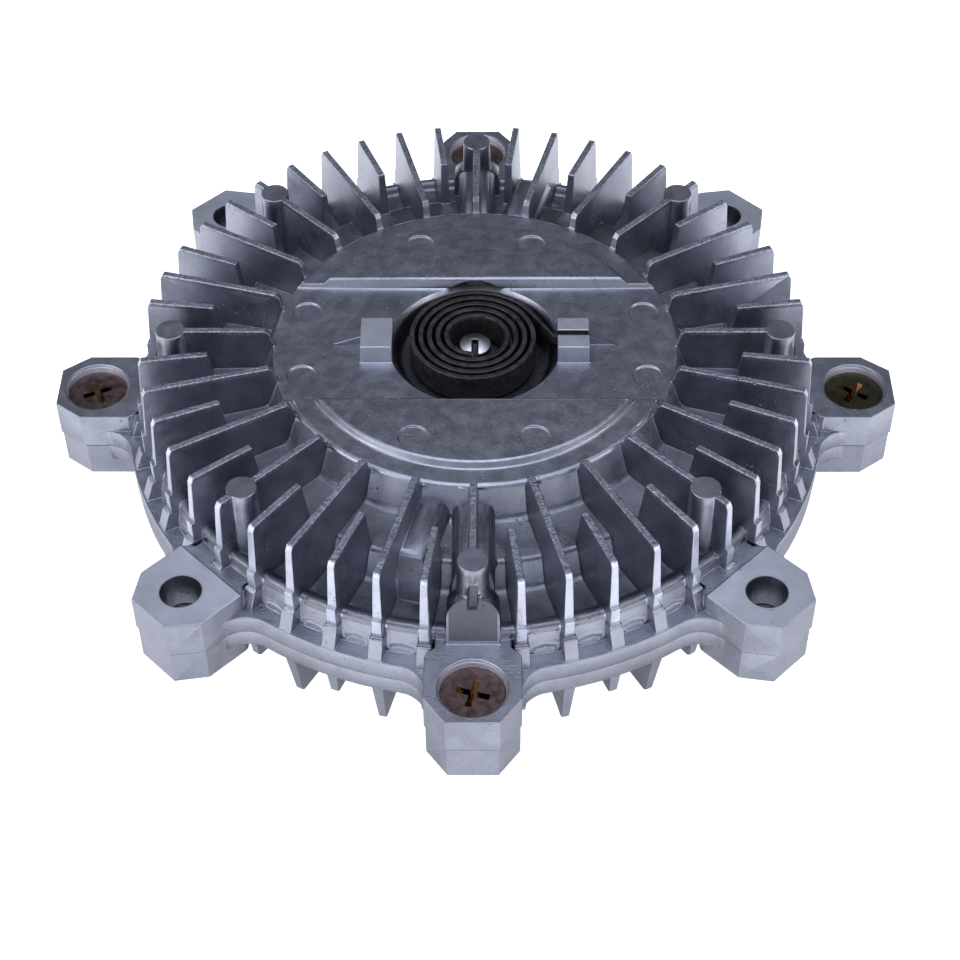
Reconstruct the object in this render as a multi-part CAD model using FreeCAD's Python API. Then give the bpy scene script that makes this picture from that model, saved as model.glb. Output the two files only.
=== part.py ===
import FreeCAD
import Part
import os
from math import atan2, ceil, cos, pi, radians, sin, sqrt, tan

# Viscous fan clutch of an engine cooling fan. Millimetres and degrees.
# The origin is the centre of the water-pump flange's rear face, and +Z runs along the shaft
# to the bimetal coil. Azimuth 0 is +X, the side of the slotted coil holder.

# Drive shaft, with the flange that bolts to the water pump
FLANGE_R = 37.0
FLANGE_T = 6.0
FLANGE_EDGE = 0.8
FLANGE_HOLE_CIRCLE_R = 29.0
FLANGE_HOLE_R = 4.25
FLANGE_HOLES = 4
PILOT_R = 11.0
PILOT_DEPTH = 5.0
NECK_R = 11.5
NECK_LENGTH = 11.5
NECK_FILLET = 5.0
ROTOR_SEAT_R = 8.0
THREAD_R = 7.0

# Single-row ball bearing, 17 x 40 x 12
BEARING_BORE_R = 8.5
BEARING_OUTER_R = 20.0
BEARING_W = 12.0
BALL_R = 3.375
BALL_COUNT = 8
BALL_PLAY = 0.04
INNER_LAND = 3.4
OUTER_LAND = 2.7
SEAL_T = 0.9
SEAL_INSET = 0.2
SEAL_REBATE = 0.7
SEAL_LIP_GAP = 0.15
CAGE_WALL = 0.9
CAGE_SKIRT = 0.75

# Rotor and what clamps it to the shaft
SPACER_LENGTH = 3.5
SPACER_WALL = 3.4
ROTOR_T = 5.0
ROTOR_HUB_WALL = 7.5
ROTOR_HUB_STEP = 0.4
NUT_RECESS = 1.4
NUT_ACROSS_FLATS = 22.0
NUT_T = 3.9
WASHER_T = 1.0
RECESS_CLEARANCE = 0.8
PUMP_PORT_R = 2.5
PUMP_PORT_CIRCLE_R = 34.0
PUMP_PORTS = 6
PUMP_PORT_ANGLE = 30.0
NUT_BEVEL_DROP = 0.8
NUT_BEVEL_RUN = 1.4

# Working gap between rotor and housing
AXIAL_GAP = 0.6
RADIAL_GAP = 1.9
LAND_PITCH = 3.0
LAND_GAP = 0.3
LAND_HEIGHT = 3.6
LAND_TIP_GAP = 0.6

# Ears, rim and joint face of the two castings
EAR_CIRCLE_R = 80.0
EAR_COUNT = 8
EAR_END = 8.05
EAR_HALF_WIDTH = 9.2
EAR_CORNER_LENGTH = 5.6
EAR_CORNER_WIDTH = 4.1
EAR_ROOT_FILLET = 6.5
EAR_SHOULDER = 2.0
EAR_UPPER_T = 8.5
EAR_LOWER_T = 8.3
EAR_SKIN_STEP = 0.25
MACHINED_EDGE = 7.6
RIM_TO_HOLE = 6.9
RIM_UPPER_T = 4.3
RIM_LOWER_T = 4.2
CASE_STEP = 0.25
CASE_DEPTH = 4.7
FAN_HOLE_R = 4.0
SPIGOT_T = 1.5
SPIGOT_DEPTH = 2.0
SPIGOT_FIT = 0.1
SEAL_GROOVE_WALL = 1.4
SEAL_GROOVE_W = 2.6
SEAL_GROOVE_DEPTH = 2.0
SEAL_RING_SIDE_GAP = 0.1

# Countersunk cover screws, M6
SCREW_R = 3.0
SCREW_LENGTH = 13.0
SCREW_HEAD_R = 6.1
SCREW_SINK = 1.6
SCREW_HEAD_RIM = 0.5
SCREW_HEAD_GAP = 0.2
SCREW_FIT = 0.3
SCREW_CROSS_ANGLES = (-35.0, 10.0, 25.0, -17.0)
MOUTH_R = 6.75
MOUTH_DEPTH = 0.8
RECESS_DEPTH = 2.4
RECESS_ARM = 3.3
RECESS_SLOT = 1.3

# Front cover: heights are steps from the working ceiling outwards
COVER_WALL = 4.0
MID_FLOOR_RISE = 5.9
ANNULUS_RISE = 6.9
PLATEAU_RISE = 1.2
CHANNEL_DROP = 0.9
FIN_RISE = 2.95
DISC_R = 41.4
PLATEAU_R = 35.9
PLATEAU_RUN = 0.9
DISC_WALL_RUN = 2.6
STEP_R = 54.6
STEP_RUN = 2.6
FLOOR_FALL = 0.3
BUMP_RISE = 1.6
BUMP_RUN = 1.1
BUMP_START = 7.6
BUMP_CROWN = 5.4
BUMP_FOOT = 3.4
CHANNEL_HALF_FLOOR = 17.0
CHANNEL_HALF_TOP = 18.2
CHANNEL_LIP = 1.2
EJECTOR_R = 3.0
EJECTOR_DEPTH = 0.4
PLATEAU_MARK = (12.0, 29.0)
CHANNEL_MARK = (35.3, 9.6)

# Front fins and the round posts on them
FIN_COUNT = 48
FIN_TOP_T = 1.43
FIN_ROOT_T = 2.4
FIN_TOP_INSET = 4.7
FIN_FACE_INSET = 4.05
FIN_FACE_LEAN = 0.65
FIN_CHAMFER = 1.3
FIN_FACE_BASE = 11.45
FIN_HEEL = 0.75
FIN_HEEL_DROP = 0.4
FIN_ROOT_INSET = 4.0
FIN_NECK_HEIGHT = 4.5
FIN_FOOT_T = 2.8
FIN_FOOT_INSET = 1.9
FIN_FOOT_EDGE = 0.1
FIN_START = 0.5
FIN_START_LEAN = 0.4
FIN_INNER_CHAMFER = 0.9
SHORT_FIN_R = 54.9
SHORT_FIN_LEAN = 1.3
POST_R = 3.0
POST_INSET = 10.3
POST_FLARE = 0.35
PASSAGE_R = 4.0
PASSAGE_ROUND = 3.6
PASSAGE_RISE = 4.4
PASSAGE_OFFSET = 2.6
PASSAGE_START = 1.3
PASSAGE_LENGTH = 18.0
PAD_HALF_WIDTH = 5.1
PAD_HEIGHT = 8.8
PAD_LEAN = 3.7
PAD_SHOULDER = 4.2
PAD_INSET = 3.5
PAD_WEB = 1.0

# Bimetal coil, its pocket and the valve
POCKET_R = 17.0
POCKET_DEPTH = 4.2
POCKET_EDGE = 0.9
POCKET_DRAFT = 1.2
POCKET_FLOOR_T = 3.5
RESERVOIR_ROOF_T = 3.5
RESERVOIR_WALL = 2.0
RESERVOIR_DRAFT = 1.0
BOSS_R = 8.0
BOSS_DRAFT = 0.5
BOSS_LENGTH = 4.0
HOLDER_REACH = 6.6
HOLDER_HEIGHT = 3.1
HOLDER_SINK = 0.5
HOLDER_HALF_TOP = 4.45
HOLDER_FLARE = 1.35
HOLDER_SLOT = 1.45
HOLDER_SLOT_FLOOR = 0.2
GUSSET_T = 0.8
GUSSET_REACH = 6.0
GUSSET_DROP = 0.7
COIL_LIFT = 0.4
COIL_HEIGHT = 6.2
COIL_STRIP_T = 1.0
COIL_INNER_R = 5.4
COIL_PITCH = 1.78
COIL_TURNS = 4
COIL_LEAVE_ANGLE = 38.0
COIL_LEAD_INSET = 0.8
COIL_STEP = 15.0
COIL_SEAT_GAP = 0.1
TANG_ANGLE = 270.0
TANG_GAP = 0.3
VALVE_SHAFT_R = 3.0
VALVE_HEAD_R = 3.3
VALVE_HEAD_HEIGHT = 4.8
VALVE_DOME = 0.7
VALVE_BORE_GAP = 0.06
VALVE_SLOT = 1.35
VALVE_SLOT_REACH = 0.7
VALVE_SLOT_FLOOR = 0.2
VALVE_RIVET_R = 2.2
O_RING_W = 1.8
O_RING_DEPTH = 0.9
O_RING_FLOOR = 1.2
O_RING_SIDE_GAP = 0.1
CLIP_T = 0.8
CLIP_R = 4.6
CLIP_MOUTH = 2.4
CLIP_GROOVE = 0.6
CLIP_GAP = 0.1
ARM_T = 0.8
ARM_GAP = 0.3
ARM_HALF_WIDTH = 3.6
ARM_LENGTH = 29.0
PADDLE_R = 5.0
PLATE_T = 1.0
PLATE_LAP = 3.6
PLATE_FIT = 0.3
PLATE_PORT_R = 3.0
PLATE_RETURN_R = 1.5
PLATE_RETURN_INSET = 7.1
RIVET_R = 1.2
RIVET_HEAD_R = 1.9
RIVET_HEAD_T = 0.7
RIVET_DEPTH = 2.5
RIVET_COUNT = 4
RIVET_ANGLE = 45.0
RIVET_INSET = 1.7

# Rear case and bearing retainer
CASE_WALL = 4.8
CASE_SHOULDER = 6.6
HUB_WALL = 4.6
HUB_DRAFT = 1.0
HUB_LIP_T = 1.6
HUB_LIP_W = 2.0
REAR_FIN_DROP = 8.0
REAR_FIN_INSET = 3.1
REAR_SHORT_FIN_DROP = 1.6
REAR_SHORT_FIN_R = 54.0
REAR_FIN_TIP_T = 1.5
SNAP_T = 1.75
SNAP_GROOVE = 1.3
SNAP_WIDTH = 2.6
SNAP_FIT = 0.05
SNAP_GAP_ANGLE = 40.0
SNAP_EYE_R = 1.7
SNAP_EYE_HOLE_R = 0.9
SNAP_EYE_INSET = 0.6
SNAP_EYE_ANGLE = 4.0

# Levels along the axis, from the pump flange to the coil
BEARING_Z = FLANGE_T + NECK_LENGTH
BEARING_TOP_Z = BEARING_Z + BEARING_W
ROTOR_HUB_Z = BEARING_TOP_Z + SPACER_LENGTH
ROTOR_REAR_Z = ROTOR_HUB_Z + ROTOR_HUB_STEP
ROTOR_FRONT_Z = ROTOR_REAR_Z + ROTOR_T
NUT_SEAT_Z = ROTOR_FRONT_Z - NUT_RECESS
NUT_Z = NUT_SEAT_Z + WASHER_T
NUT_TOP_Z = NUT_Z + NUT_T
LAND_TOP_Z = ROTOR_FRONT_Z + LAND_HEIGHT
CASE_FLOOR_Z = ROTOR_REAR_Z - AXIAL_GAP
CASE_UNDER_Z = CASE_FLOOR_Z - CASE_WALL
SEAM_Z = CASE_FLOOR_Z + CASE_DEPTH
EAR_TOP_Z = SEAM_Z + EAR_UPPER_T
EAR_BOTTOM_Z = SEAM_Z - EAR_LOWER_T
CEILING_Z = LAND_TOP_Z + LAND_TIP_GAP
PLATE_TOP_Z = CEILING_Z + PLATE_T
LOW_FLOOR_Z = CEILING_Z + COVER_WALL
MID_FLOOR_Z = LOW_FLOOR_Z + MID_FLOOR_RISE
ANNULUS_Z = MID_FLOOR_Z + ANNULUS_RISE
PLATEAU_Z = ANNULUS_Z + PLATEAU_RISE
CHANNEL_Z = ANNULUS_Z - CHANNEL_DROP
FIN_TOP_Z = ANNULUS_Z + FIN_RISE
POCKET_Z = CHANNEL_Z - POCKET_DEPTH
POCKET_UNDER_Z = POCKET_Z - POCKET_FLOOR_T
RESERVOIR_Z = CHANNEL_Z - RESERVOIR_ROOF_T
BOSS_Z = POCKET_UNDER_Z - BOSS_LENGTH
COIL_Z = POCKET_Z + COIL_LIFT
VALVE_TOP_Z = POCKET_Z + VALVE_HEAD_HEIGHT
ARM_Z = PLATE_TOP_Z + ARM_GAP

# Radii worked out from the ears inwards
RIM_R = EAR_CIRCLE_R - RIM_TO_HOLE
EAR_OUTER_R = EAR_CIRCLE_R + EAR_END
GROOVE_OUTER_R = RIM_R - BUMP_FOOT
GROOVE_INNER_R = GROOVE_OUTER_R - SEAL_GROOVE_W
CASE_BORE_R = GROOVE_INNER_R - SEAL_GROOVE_WALL
SPIGOT_R = CASE_BORE_R - SPIGOT_FIT
CHAMBER_R = SPIGOT_R - SPIGOT_T
ROTOR_R = CHAMBER_R - RADIAL_GAP
LAND_T = LAND_PITCH / 2 - LAND_GAP
POST_CIRCLE_R = RIM_R - POST_INSET
PLATE_R = DISC_R + PLATE_LAP
RIVET_CIRCLE_R = PLATE_R - RIVET_INSET
BALL_CIRCLE_R = (BEARING_BORE_R + BEARING_OUTER_R) / 2
INNER_LAND_R = BEARING_BORE_R + INNER_LAND
OUTER_LAND_R = BEARING_OUTER_R - OUTER_LAND
HUB_R = BEARING_OUTER_R + HUB_WALL
HUB_BOTTOM_Z = BEARING_Z - HUB_LIP_T
VALVE_BORE_R = VALVE_SHAFT_R + VALVE_BORE_GAP
EAR_PITCH = 360 / EAR_COUNT
FIN_PITCH = 360 / FIN_COUNT
FINS_PER_EAR = FIN_COUNT // EAR_COUNT

# Radii of cast edges, and how far joined solids and cutters run past each other
CAST_FINE = 0.3
CAST_SMALL = 0.8
CAST_MEDIUM = 1.3
CAST_LARGE = 2.0
TURNED_EDGE = 0.5
RUN_ON = 1.0

ORIGIN = FreeCAD.Vector(0, 0, 0)
AXIS = FreeCAD.Vector(0, 0, 1)
BEYOND = 400.0
TINY = 0.001


def upright(across, height):
    """A point of a side view, in the XZ plane."""
    return FreeCAD.Vector(across, 0, height)


def facing(across, height):
    """A point of an end view, in the YZ plane."""
    return FreeCAD.Vector(0, across, height)


def level(x, y):
    """A point of a plan view, in the XY plane."""
    return FreeCAD.Vector(x, y, 0)


def outline(corners, place):
    """Flat face through corners (u, v) or (u, v, radius), with tangent arcs at the rounded ones."""
    points = [place(corner[0], corner[1]) for corner in corners]
    radii = [corner[2] if len(corner) > 2 else 0 for corner in corners]
    edges = []
    pen = None
    first = None
    for index, point in enumerate(points):
        back = points[index - 1] - point
        ahead = points[(index + 1) % len(points)] - point
        half = back.getAngle(ahead) / 2
        run = min(radii[index] / tan(half), 0.48 * min(back.Length, ahead.Length))
        back.normalize()
        ahead.normalize()
        start = point + back * run
        end = point + ahead * run
        if pen is None:
            first = start
        elif (start - pen).Length > TINY:
            edges.append(Part.LineSegment(pen, start).toShape())
        if run > TINY:
            middle = (back + ahead).normalize()
            sagitta = run / cos(half) - run * tan(half)
            edges.append(Part.Arc(start, point + middle * sagitta, end).toShape())
        pen = end
    if (first - pen).Length > TINY:
        edges.append(Part.LineSegment(pen, first).toShape())
    return Part.Face(Part.Wire(edges))


def turned(corners):
    """Solid of revolution about the shaft axis."""
    solid = outline(corners, upright).revolve(ORIGIN, AXIS, 360)
    if solid.Volume < 0:
        solid.reverse()
    return solid


def ring(inner, outer, low, high):
    return turned([(inner, low), (outer, low), (outer, high), (inner, high)])


def rod(x, y, radius, low, high):
    return Part.makeCylinder(radius, high - low, FreeCAD.Vector(x, y, low))


def slab(corners, low, high):
    """Plan outline raised from low to high."""
    face = outline(corners, level)
    face.translate(AXIS * low)
    return face.extrude(AXIS * (high - low))


def spun(shape, azimuth):
    copy = shape.copy()
    copy.rotate(ORIGIN, AXIS, azimuth)
    return copy


def around(shape, count, first=0.0):
    """Copies of a shape at equal steps about the axis."""
    return [spun(shape, first + 360 * index / count) for index in range(count)]


def polar(radius, azimuth):
    return radius * cos(radians(azimuth)), radius * sin(radians(azimuth))


def whole(shape):
    """One clean solid, or a compound when there are several."""
    clean = shape.removeSplitter()
    return clean.Solids[0] if len(clean.Solids) == 1 else clean


# Drive shaft and rotor


def drive_shaft():
    body = turned([
        (0, PILOT_DEPTH), (PILOT_R, PILOT_DEPTH), (PILOT_R, 0),
        (FLANGE_R, 0, FLANGE_EDGE), (FLANGE_R, FLANGE_T, FLANGE_EDGE),
        (NECK_R, FLANGE_T, NECK_FILLET), (NECK_R, BEARING_Z, TURNED_EDGE),
        (BEARING_BORE_R, BEARING_Z), (BEARING_BORE_R, ROTOR_HUB_Z),
        (ROTOR_SEAT_R, ROTOR_HUB_Z), (ROTOR_SEAT_R, NUT_SEAT_Z),
        (THREAD_R, NUT_SEAT_Z), (THREAD_R, NUT_TOP_Z, TURNED_EDGE), (0, NUT_TOP_Z)])
    hole = rod(FLANGE_HOLE_CIRCLE_R, 0, FLANGE_HOLE_R, -RUN_ON, FLANGE_T + RUN_ON)
    return whole(body.cut(around(hole, FLANGE_HOLES)))


def land_radii():
    """Middle radii of the cover's annular lands, with the rotor's halfway between them."""
    first = PLATE_R + LAND_PITCH
    room = ROTOR_R - LAND_T - first
    return [first + LAND_PITCH * index for index in range(int(room / LAND_PITCH) + 1)]


def rotor_disc():
    recess_r = NUT_ACROSS_FLATS / 2 / cos(radians(30)) + RECESS_CLEARANCE
    body = turned([
        (ROTOR_SEAT_R, ROTOR_HUB_Z), (ROTOR_SEAT_R + ROTOR_HUB_WALL, ROTOR_HUB_Z),
        (ROTOR_SEAT_R + ROTOR_HUB_WALL, ROTOR_REAR_Z), (ROTOR_R, ROTOR_REAR_Z, TURNED_EDGE),
        (ROTOR_R, ROTOR_FRONT_Z, TURNED_EDGE), (recess_r, ROTOR_FRONT_Z),
        (recess_r, NUT_SEAT_Z), (ROTOR_SEAT_R, NUT_SEAT_Z)])
    lands = [ring(radius + LAND_PITCH / 2 - LAND_T / 2, radius + LAND_PITCH / 2 + LAND_T / 2,
                  ROTOR_FRONT_Z - RUN_ON, LAND_TOP_Z) for radius in land_radii()[:-1]]
    port = rod(PUMP_PORT_CIRCLE_R, 0, PUMP_PORT_R, ROTOR_REAR_Z - RUN_ON, ROTOR_FRONT_Z + RUN_ON)
    return whole(body.fuse(lands).cut(around(port, PUMP_PORTS, PUMP_PORT_ANGLE)))


def rotor_spacer():
    return ring(BEARING_BORE_R, BEARING_BORE_R + SPACER_WALL, BEARING_TOP_Z, ROTOR_HUB_Z)


def rotor_washer():
    return ring(THREAD_R, NUT_ACROSS_FLATS / 2, NUT_SEAT_Z, NUT_Z)


def rotor_nut():
    corner = NUT_ACROSS_FLATS / 2 / cos(radians(30))
    hexagon = slab([polar(corner, 60 * side) for side in range(6)], NUT_Z, NUT_TOP_Z)
    bevel = turned([
        (THREAD_R, NUT_Z), (corner, NUT_Z), (corner, NUT_TOP_Z - NUT_BEVEL_DROP),
        (corner - NUT_BEVEL_RUN, NUT_TOP_Z), (THREAD_R, NUT_TOP_Z)])
    return whole(hexagon.common(bevel))


# Ball bearing


def race_groove():
    """Torus that the balls run in, a little larger than a ball."""
    return Part.makeTorus(BALL_CIRCLE_R, BALL_R + BALL_PLAY,
                          FreeCAD.Vector(0, 0, BEARING_Z + BEARING_W / 2))


def bearing_inner_ring():
    body = turned([
        (BEARING_BORE_R, BEARING_Z), (INNER_LAND_R, BEARING_Z, TURNED_EDGE),
        (INNER_LAND_R, BEARING_TOP_Z, TURNED_EDGE), (BEARING_BORE_R, BEARING_TOP_Z)])
    return whole(body.cut(race_groove()))


def bearing_outer_ring():
    rebate_r = OUTER_LAND_R + SEAL_REBATE
    rebate = SEAL_INSET + SEAL_T
    body = turned([
        (rebate_r, BEARING_Z), (BEARING_OUTER_R, BEARING_Z), (BEARING_OUTER_R, BEARING_TOP_Z),
        (rebate_r, BEARING_TOP_Z), (rebate_r, BEARING_TOP_Z - rebate),
        (OUTER_LAND_R, BEARING_TOP_Z - rebate), (OUTER_LAND_R, BEARING_Z + rebate),
        (rebate_r, BEARING_Z + rebate)])
    return whole(body.cut(race_groove()))


def bearing_seal(low):
    return ring(INNER_LAND_R + SEAL_LIP_GAP, OUTER_LAND_R + SEAL_REBATE, low, low + SEAL_T)


def ball(radius):
    centre = FreeCAD.Vector(BALL_CIRCLE_R, 0, BEARING_Z + BEARING_W / 2)
    return Part.makeSphere(radius, centre, FreeCAD.Vector(1, 0, 0))


def bearing_balls():
    return Part.makeCompound(around(ball(BALL_R), BALL_COUNT))


def bearing_cage():
    middle = BEARING_Z + BEARING_W / 2
    half = BALL_R + CAGE_SKIRT
    body = ring(BALL_CIRCLE_R - CAGE_WALL, BALL_CIRCLE_R + CAGE_WALL, middle - half, middle + half)
    return whole(body.cut(around(ball(BALL_R + BALL_PLAY), BALL_COUNT)))


def bearing_retaining_ring():
    """Internal snap ring, with its gap and the two eyes for the pliers."""
    outer = BEARING_OUTER_R + SNAP_GROOVE - SNAP_FIT
    inner = outer - SNAP_WIDTH
    top = BEARING_TOP_Z + SNAP_T
    body = ring(inner, outer, BEARING_TOP_Z, top)
    gap = [(0, 0), polar(2 * outer, -SNAP_GAP_ANGLE / 2), polar(2 * outer, SNAP_GAP_ANGLE / 2)]
    low = BEARING_TOP_Z - RUN_ON
    high = top + RUN_ON
    body = body.cut(slab(gap, low, high))
    for side in (-1, 1):
        x, y = polar(inner + SNAP_EYE_INSET, side * (SNAP_GAP_ANGLE / 2 + SNAP_EYE_ANGLE))
        body = body.fuse(rod(x, y, SNAP_EYE_R, BEARING_TOP_Z, top))
        body = body.cut(rod(x, y, SNAP_EYE_HOLE_R, low, high))
    return whole(body)


# Shapes that both castings share


def ear_outline(rim, inset):
    """Plan face of the rim with its eight ears; inset draws every side in."""
    half = EAR_HALF_WIDTH - inset
    end = EAR_OUTER_R - inset
    fillet = EAR_ROOT_FILLET
    centre_x = sqrt((rim + fillet) ** 2 - (half + fillet) ** 2)
    touch_x = centre_x * rim / (rim + fillet)
    touch_y = (half + fillet) * rim / (rim + fillet)
    turn = (atan2(half + fillet, centre_x) + pi + 1.5 * pi) / 2
    mid_x = centre_x + fillet * cos(turn)
    mid_y = half + fillet + fillet * sin(turn)
    shoulder = end - EAR_CORNER_LENGTH
    tip = half - EAR_CORNER_WIDTH
    side = [(touch_x, touch_y), (mid_x, mid_y), (centre_x, half), (shoulder, half), (end, tip)]
    edges = []
    for index in range(EAR_COUNT):
        azimuth = EAR_PITCH * index
        left = [spin_point(x, -y, azimuth) for x, y in side]
        right = [spin_point(x, y, azimuth) for x, y in side]
        edges.append(Part.Arc(left[0], left[1], left[2]).toShape())
        path = [left[2], left[3], left[4], right[4], right[3], right[2]]
        for start, stop in zip(path[:-1], path[1:]):
            edges.append(Part.LineSegment(start, stop).toShape())
        edges.append(Part.Arc(right[2], right[1], right[0]).toShape())
        onward = spin_point(touch_x, -touch_y, azimuth + EAR_PITCH)
        edges.append(Part.Arc(right[0], spin_point(rim, 0, azimuth + EAR_PITCH / 2), onward).toShape())
    return Part.Face(Part.Wire(edges))


def spin_point(x, y, azimuth):
    turn = radians(azimuth)
    return FreeCAD.Vector(x * cos(turn) - y * sin(turn), x * sin(turn) + y * cos(turn), 0)


def rim_plate(rim, inset, bore, low, high):
    """Flange of a casting at the joint face, with its ears, as deep as the rim."""
    face = ear_outline(rim, inset)
    face.translate(AXIS * low)
    return face.extrude(AXIS * (high - low)).cut(rod(0, 0, bore, low - RUN_ON, high + RUN_ON))


def ear_block(inset, inner, low, high):
    """One ear along +X, from an inner edge out to its chamfered end."""
    half = EAR_HALF_WIDTH - inset
    end = EAR_OUTER_R - inset
    narrow = half - EAR_SHOULDER
    side = [(inner, half)] if inner > RIM_R - RUN_ON else [
        (inner, narrow), (RIM_R - PAD_INSET + CAST_SMALL, narrow), (RIM_R - RUN_ON, half, CAST_LARGE)]
    side += [(end - EAR_CORNER_LENGTH, half), (end, half - EAR_CORNER_WIDTH)]
    mirrored = [(corner[0], -corner[1]) + corner[2:] for corner in reversed(side)]
    return slab(side + mirrored, low, high)


def drafted_fin(side_view, tip_t, tip_z, root_t, root_z):
    """Radial fin along +X: its side view, with walls that thicken from tip to root."""
    wide = max(tip_t, root_t)
    blank = outline(side_view, upright)
    blank.translate(FreeCAD.Vector(0, -wide, 0))
    blank = blank.extrude(FreeCAD.Vector(0, 2 * wide, 0))
    section = outline([
        (-root_t / 2, root_z), (root_t / 2, root_z),
        (tip_t / 2, tip_z), (-tip_t / 2, tip_z)], facing)
    return blank.common(section.extrude(FreeCAD.Vector(BEYOND, 0, 0)))


# Front cover


def cover_body():
    """Domed shell: outside from the plateau to the joint face, then back along the inside."""
    low = LOW_FLOOR_Z
    corners = [
        (VALVE_BORE_R, PLATEAU_Z), (PLATEAU_R, PLATEAU_Z, CAST_SMALL),
        (PLATEAU_R + PLATEAU_RUN, ANNULUS_Z, CAST_SMALL),
        (DISC_R, ANNULUS_Z, CAST_MEDIUM), (DISC_R + DISC_WALL_RUN, MID_FLOOR_Z, CAST_LARGE),
        (STEP_R, MID_FLOOR_Z - FLOOR_FALL, CAST_MEDIUM), (STEP_R + STEP_RUN, low, CAST_LARGE),
        (RIM_R - BUMP_START, low + FLOOR_FALL, CAST_MEDIUM),
        (RIM_R - BUMP_START + BUMP_RUN, low + BUMP_RISE, CAST_MEDIUM),
        (RIM_R - BUMP_CROWN + BUMP_RUN / 2, low + BUMP_RISE, CAST_MEDIUM),
        (RIM_R - BUMP_FOOT, SEAM_Z + RIM_UPPER_T, CAST_FINE), (RIM_R - BUMP_FOOT, SEAM_Z),
        (SPIGOT_R, SEAM_Z), (SPIGOT_R, SEAM_Z - SPIGOT_DEPTH, CAST_FINE),
        (CHAMBER_R, SEAM_Z - SPIGOT_DEPTH, CAST_FINE),
        (CHAMBER_R, CEILING_Z, CAST_MEDIUM), (PLATE_R + PLATE_FIT, CEILING_Z),
        (PLATE_R + PLATE_FIT, PLATE_TOP_Z), (DISC_R, PLATE_TOP_Z),
        (DISC_R - RESERVOIR_WALL, RESERVOIR_Z, CAST_LARGE),
        (POCKET_R + RESERVOIR_ROOF_T, RESERVOIR_Z, CAST_MEDIUM),
        (POCKET_R + RESERVOIR_ROOF_T - RESERVOIR_DRAFT, POCKET_UNDER_Z, CAST_MEDIUM),
        (BOSS_R, POCKET_UNDER_Z, CAST_SMALL), (BOSS_R - BOSS_DRAFT, BOSS_Z, CAST_FINE),
        (VALVE_BORE_R, BOSS_Z)]
    body = turned(corners)
    lands = [ring(radius - LAND_T / 2, radius + LAND_T / 2, CEILING_Z - LAND_HEIGHT, CEILING_Z + RUN_ON)
             for radius in land_radii()]
    return body.fuse(lands)


def coil_channel():
    """Wide channel across the disc, with sloping side walls."""
    far = CHANNEL_HALF_TOP + DISC_R
    wall = [
        (CHANNEL_HALF_FLOOR, CHANNEL_Z, CAST_SMALL), (CHANNEL_HALF_TOP, PLATEAU_Z, CHANNEL_LIP),
        (far, PLATEAU_Z + RUN_ON), (far, BEYOND)]
    other = [(-corner[0],) + corner[1:] for corner in reversed(wall)]
    section = outline(wall + other, facing)
    section.translate(FreeCAD.Vector(-DISC_R - RUN_ON, 0, 0))
    return section.extrude(FreeCAD.Vector(2 * (DISC_R + RUN_ON), 0, 0))


def coil_pocket():
    return turned([
        (0, POCKET_Z), (POCKET_R - POCKET_DRAFT, POCKET_Z, CAST_MEDIUM),
        (POCKET_R, CHANNEL_Z - POCKET_EDGE, CAST_MEDIUM), (POCKET_R + POCKET_EDGE, CHANNEL_Z),
        (POCKET_R + POCKET_EDGE, FIN_TOP_Z), (0, FIN_TOP_Z)])


def ejector_marks():
    marks = []
    for x, y, z in (PLATEAU_MARK + (PLATEAU_Z,), CHANNEL_MARK + (CHANNEL_Z,)):
        for side_x in (-1, 1):
            for side_y in (-1, 1):
                marks.append(rod(side_x * x, side_y * y, EJECTOR_R, z - EJECTOR_DEPTH, z + RUN_ON))
    return marks


def coil_holder(slotted):
    """Raised block beside the pocket, with a thin gusset behind it; one is slotted for the strip."""
    inner = POCKET_R
    outer = inner + HOLDER_REACH
    top = CHANNEL_Z + HOLDER_HEIGHT
    low = CHANNEL_Z - HOLDER_SINK
    flare = HOLDER_FLARE * (HOLDER_HEIGHT + HOLDER_SINK) / HOLDER_HEIGHT
    section = outline([
        (-HOLDER_HALF_TOP - flare, low), (HOLDER_HALF_TOP + flare, low),
        (HOLDER_HALF_TOP, top, CAST_FINE), (-HOLDER_HALF_TOP, top, CAST_FINE)], facing)
    section.translate(FreeCAD.Vector(inner, 0, 0))
    block = section.extrude(FreeCAD.Vector(outer - inner, 0, 0))
    if slotted:
        corner = FreeCAD.Vector(inner - RUN_ON, -HOLDER_SLOT / 2, CHANNEL_Z + HOLDER_SLOT_FLOOR)
        slot = Part.makeBox(HOLDER_REACH + 2 * RUN_ON, HOLDER_SLOT, HOLDER_HEIGHT, corner)
        block = block.cut(slot)
    gusset = outline([
        (outer - HOLDER_SINK, low), (outer + GUSSET_REACH, low),
        (outer + GUSSET_REACH, CHANNEL_Z), (outer - HOLDER_SINK, top - GUSSET_DROP)], upright)
    gusset.translate(FreeCAD.Vector(0, -GUSSET_T / 2, 0))
    block = block.fuse(gusset.extrude(FreeCAD.Vector(0, GUSSET_T, 0)))
    return block if slotted else spun(block, 180)


def fin_side_view(inner_corners):
    """Side view of a front fin: the given inner end, then the stepped outer end."""
    face = RIM_R - FIN_FACE_INSET
    base = FIN_TOP_Z - FIN_FACE_BASE
    return inner_corners + [
        (RIM_R - FIN_TOP_INSET, FIN_TOP_Z), (face, FIN_TOP_Z - FIN_CHAMFER),
        (face + FIN_FACE_LEAN, base), (face + FIN_FACE_LEAN + FIN_HEEL, base - FIN_HEEL_DROP),
        (face + FIN_FACE_LEAN + FIN_HEEL, SEAM_Z + RIM_UPPER_T),
        (face - FIN_ROOT_INSET, SEAM_Z + RIM_UPPER_T)]


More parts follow.
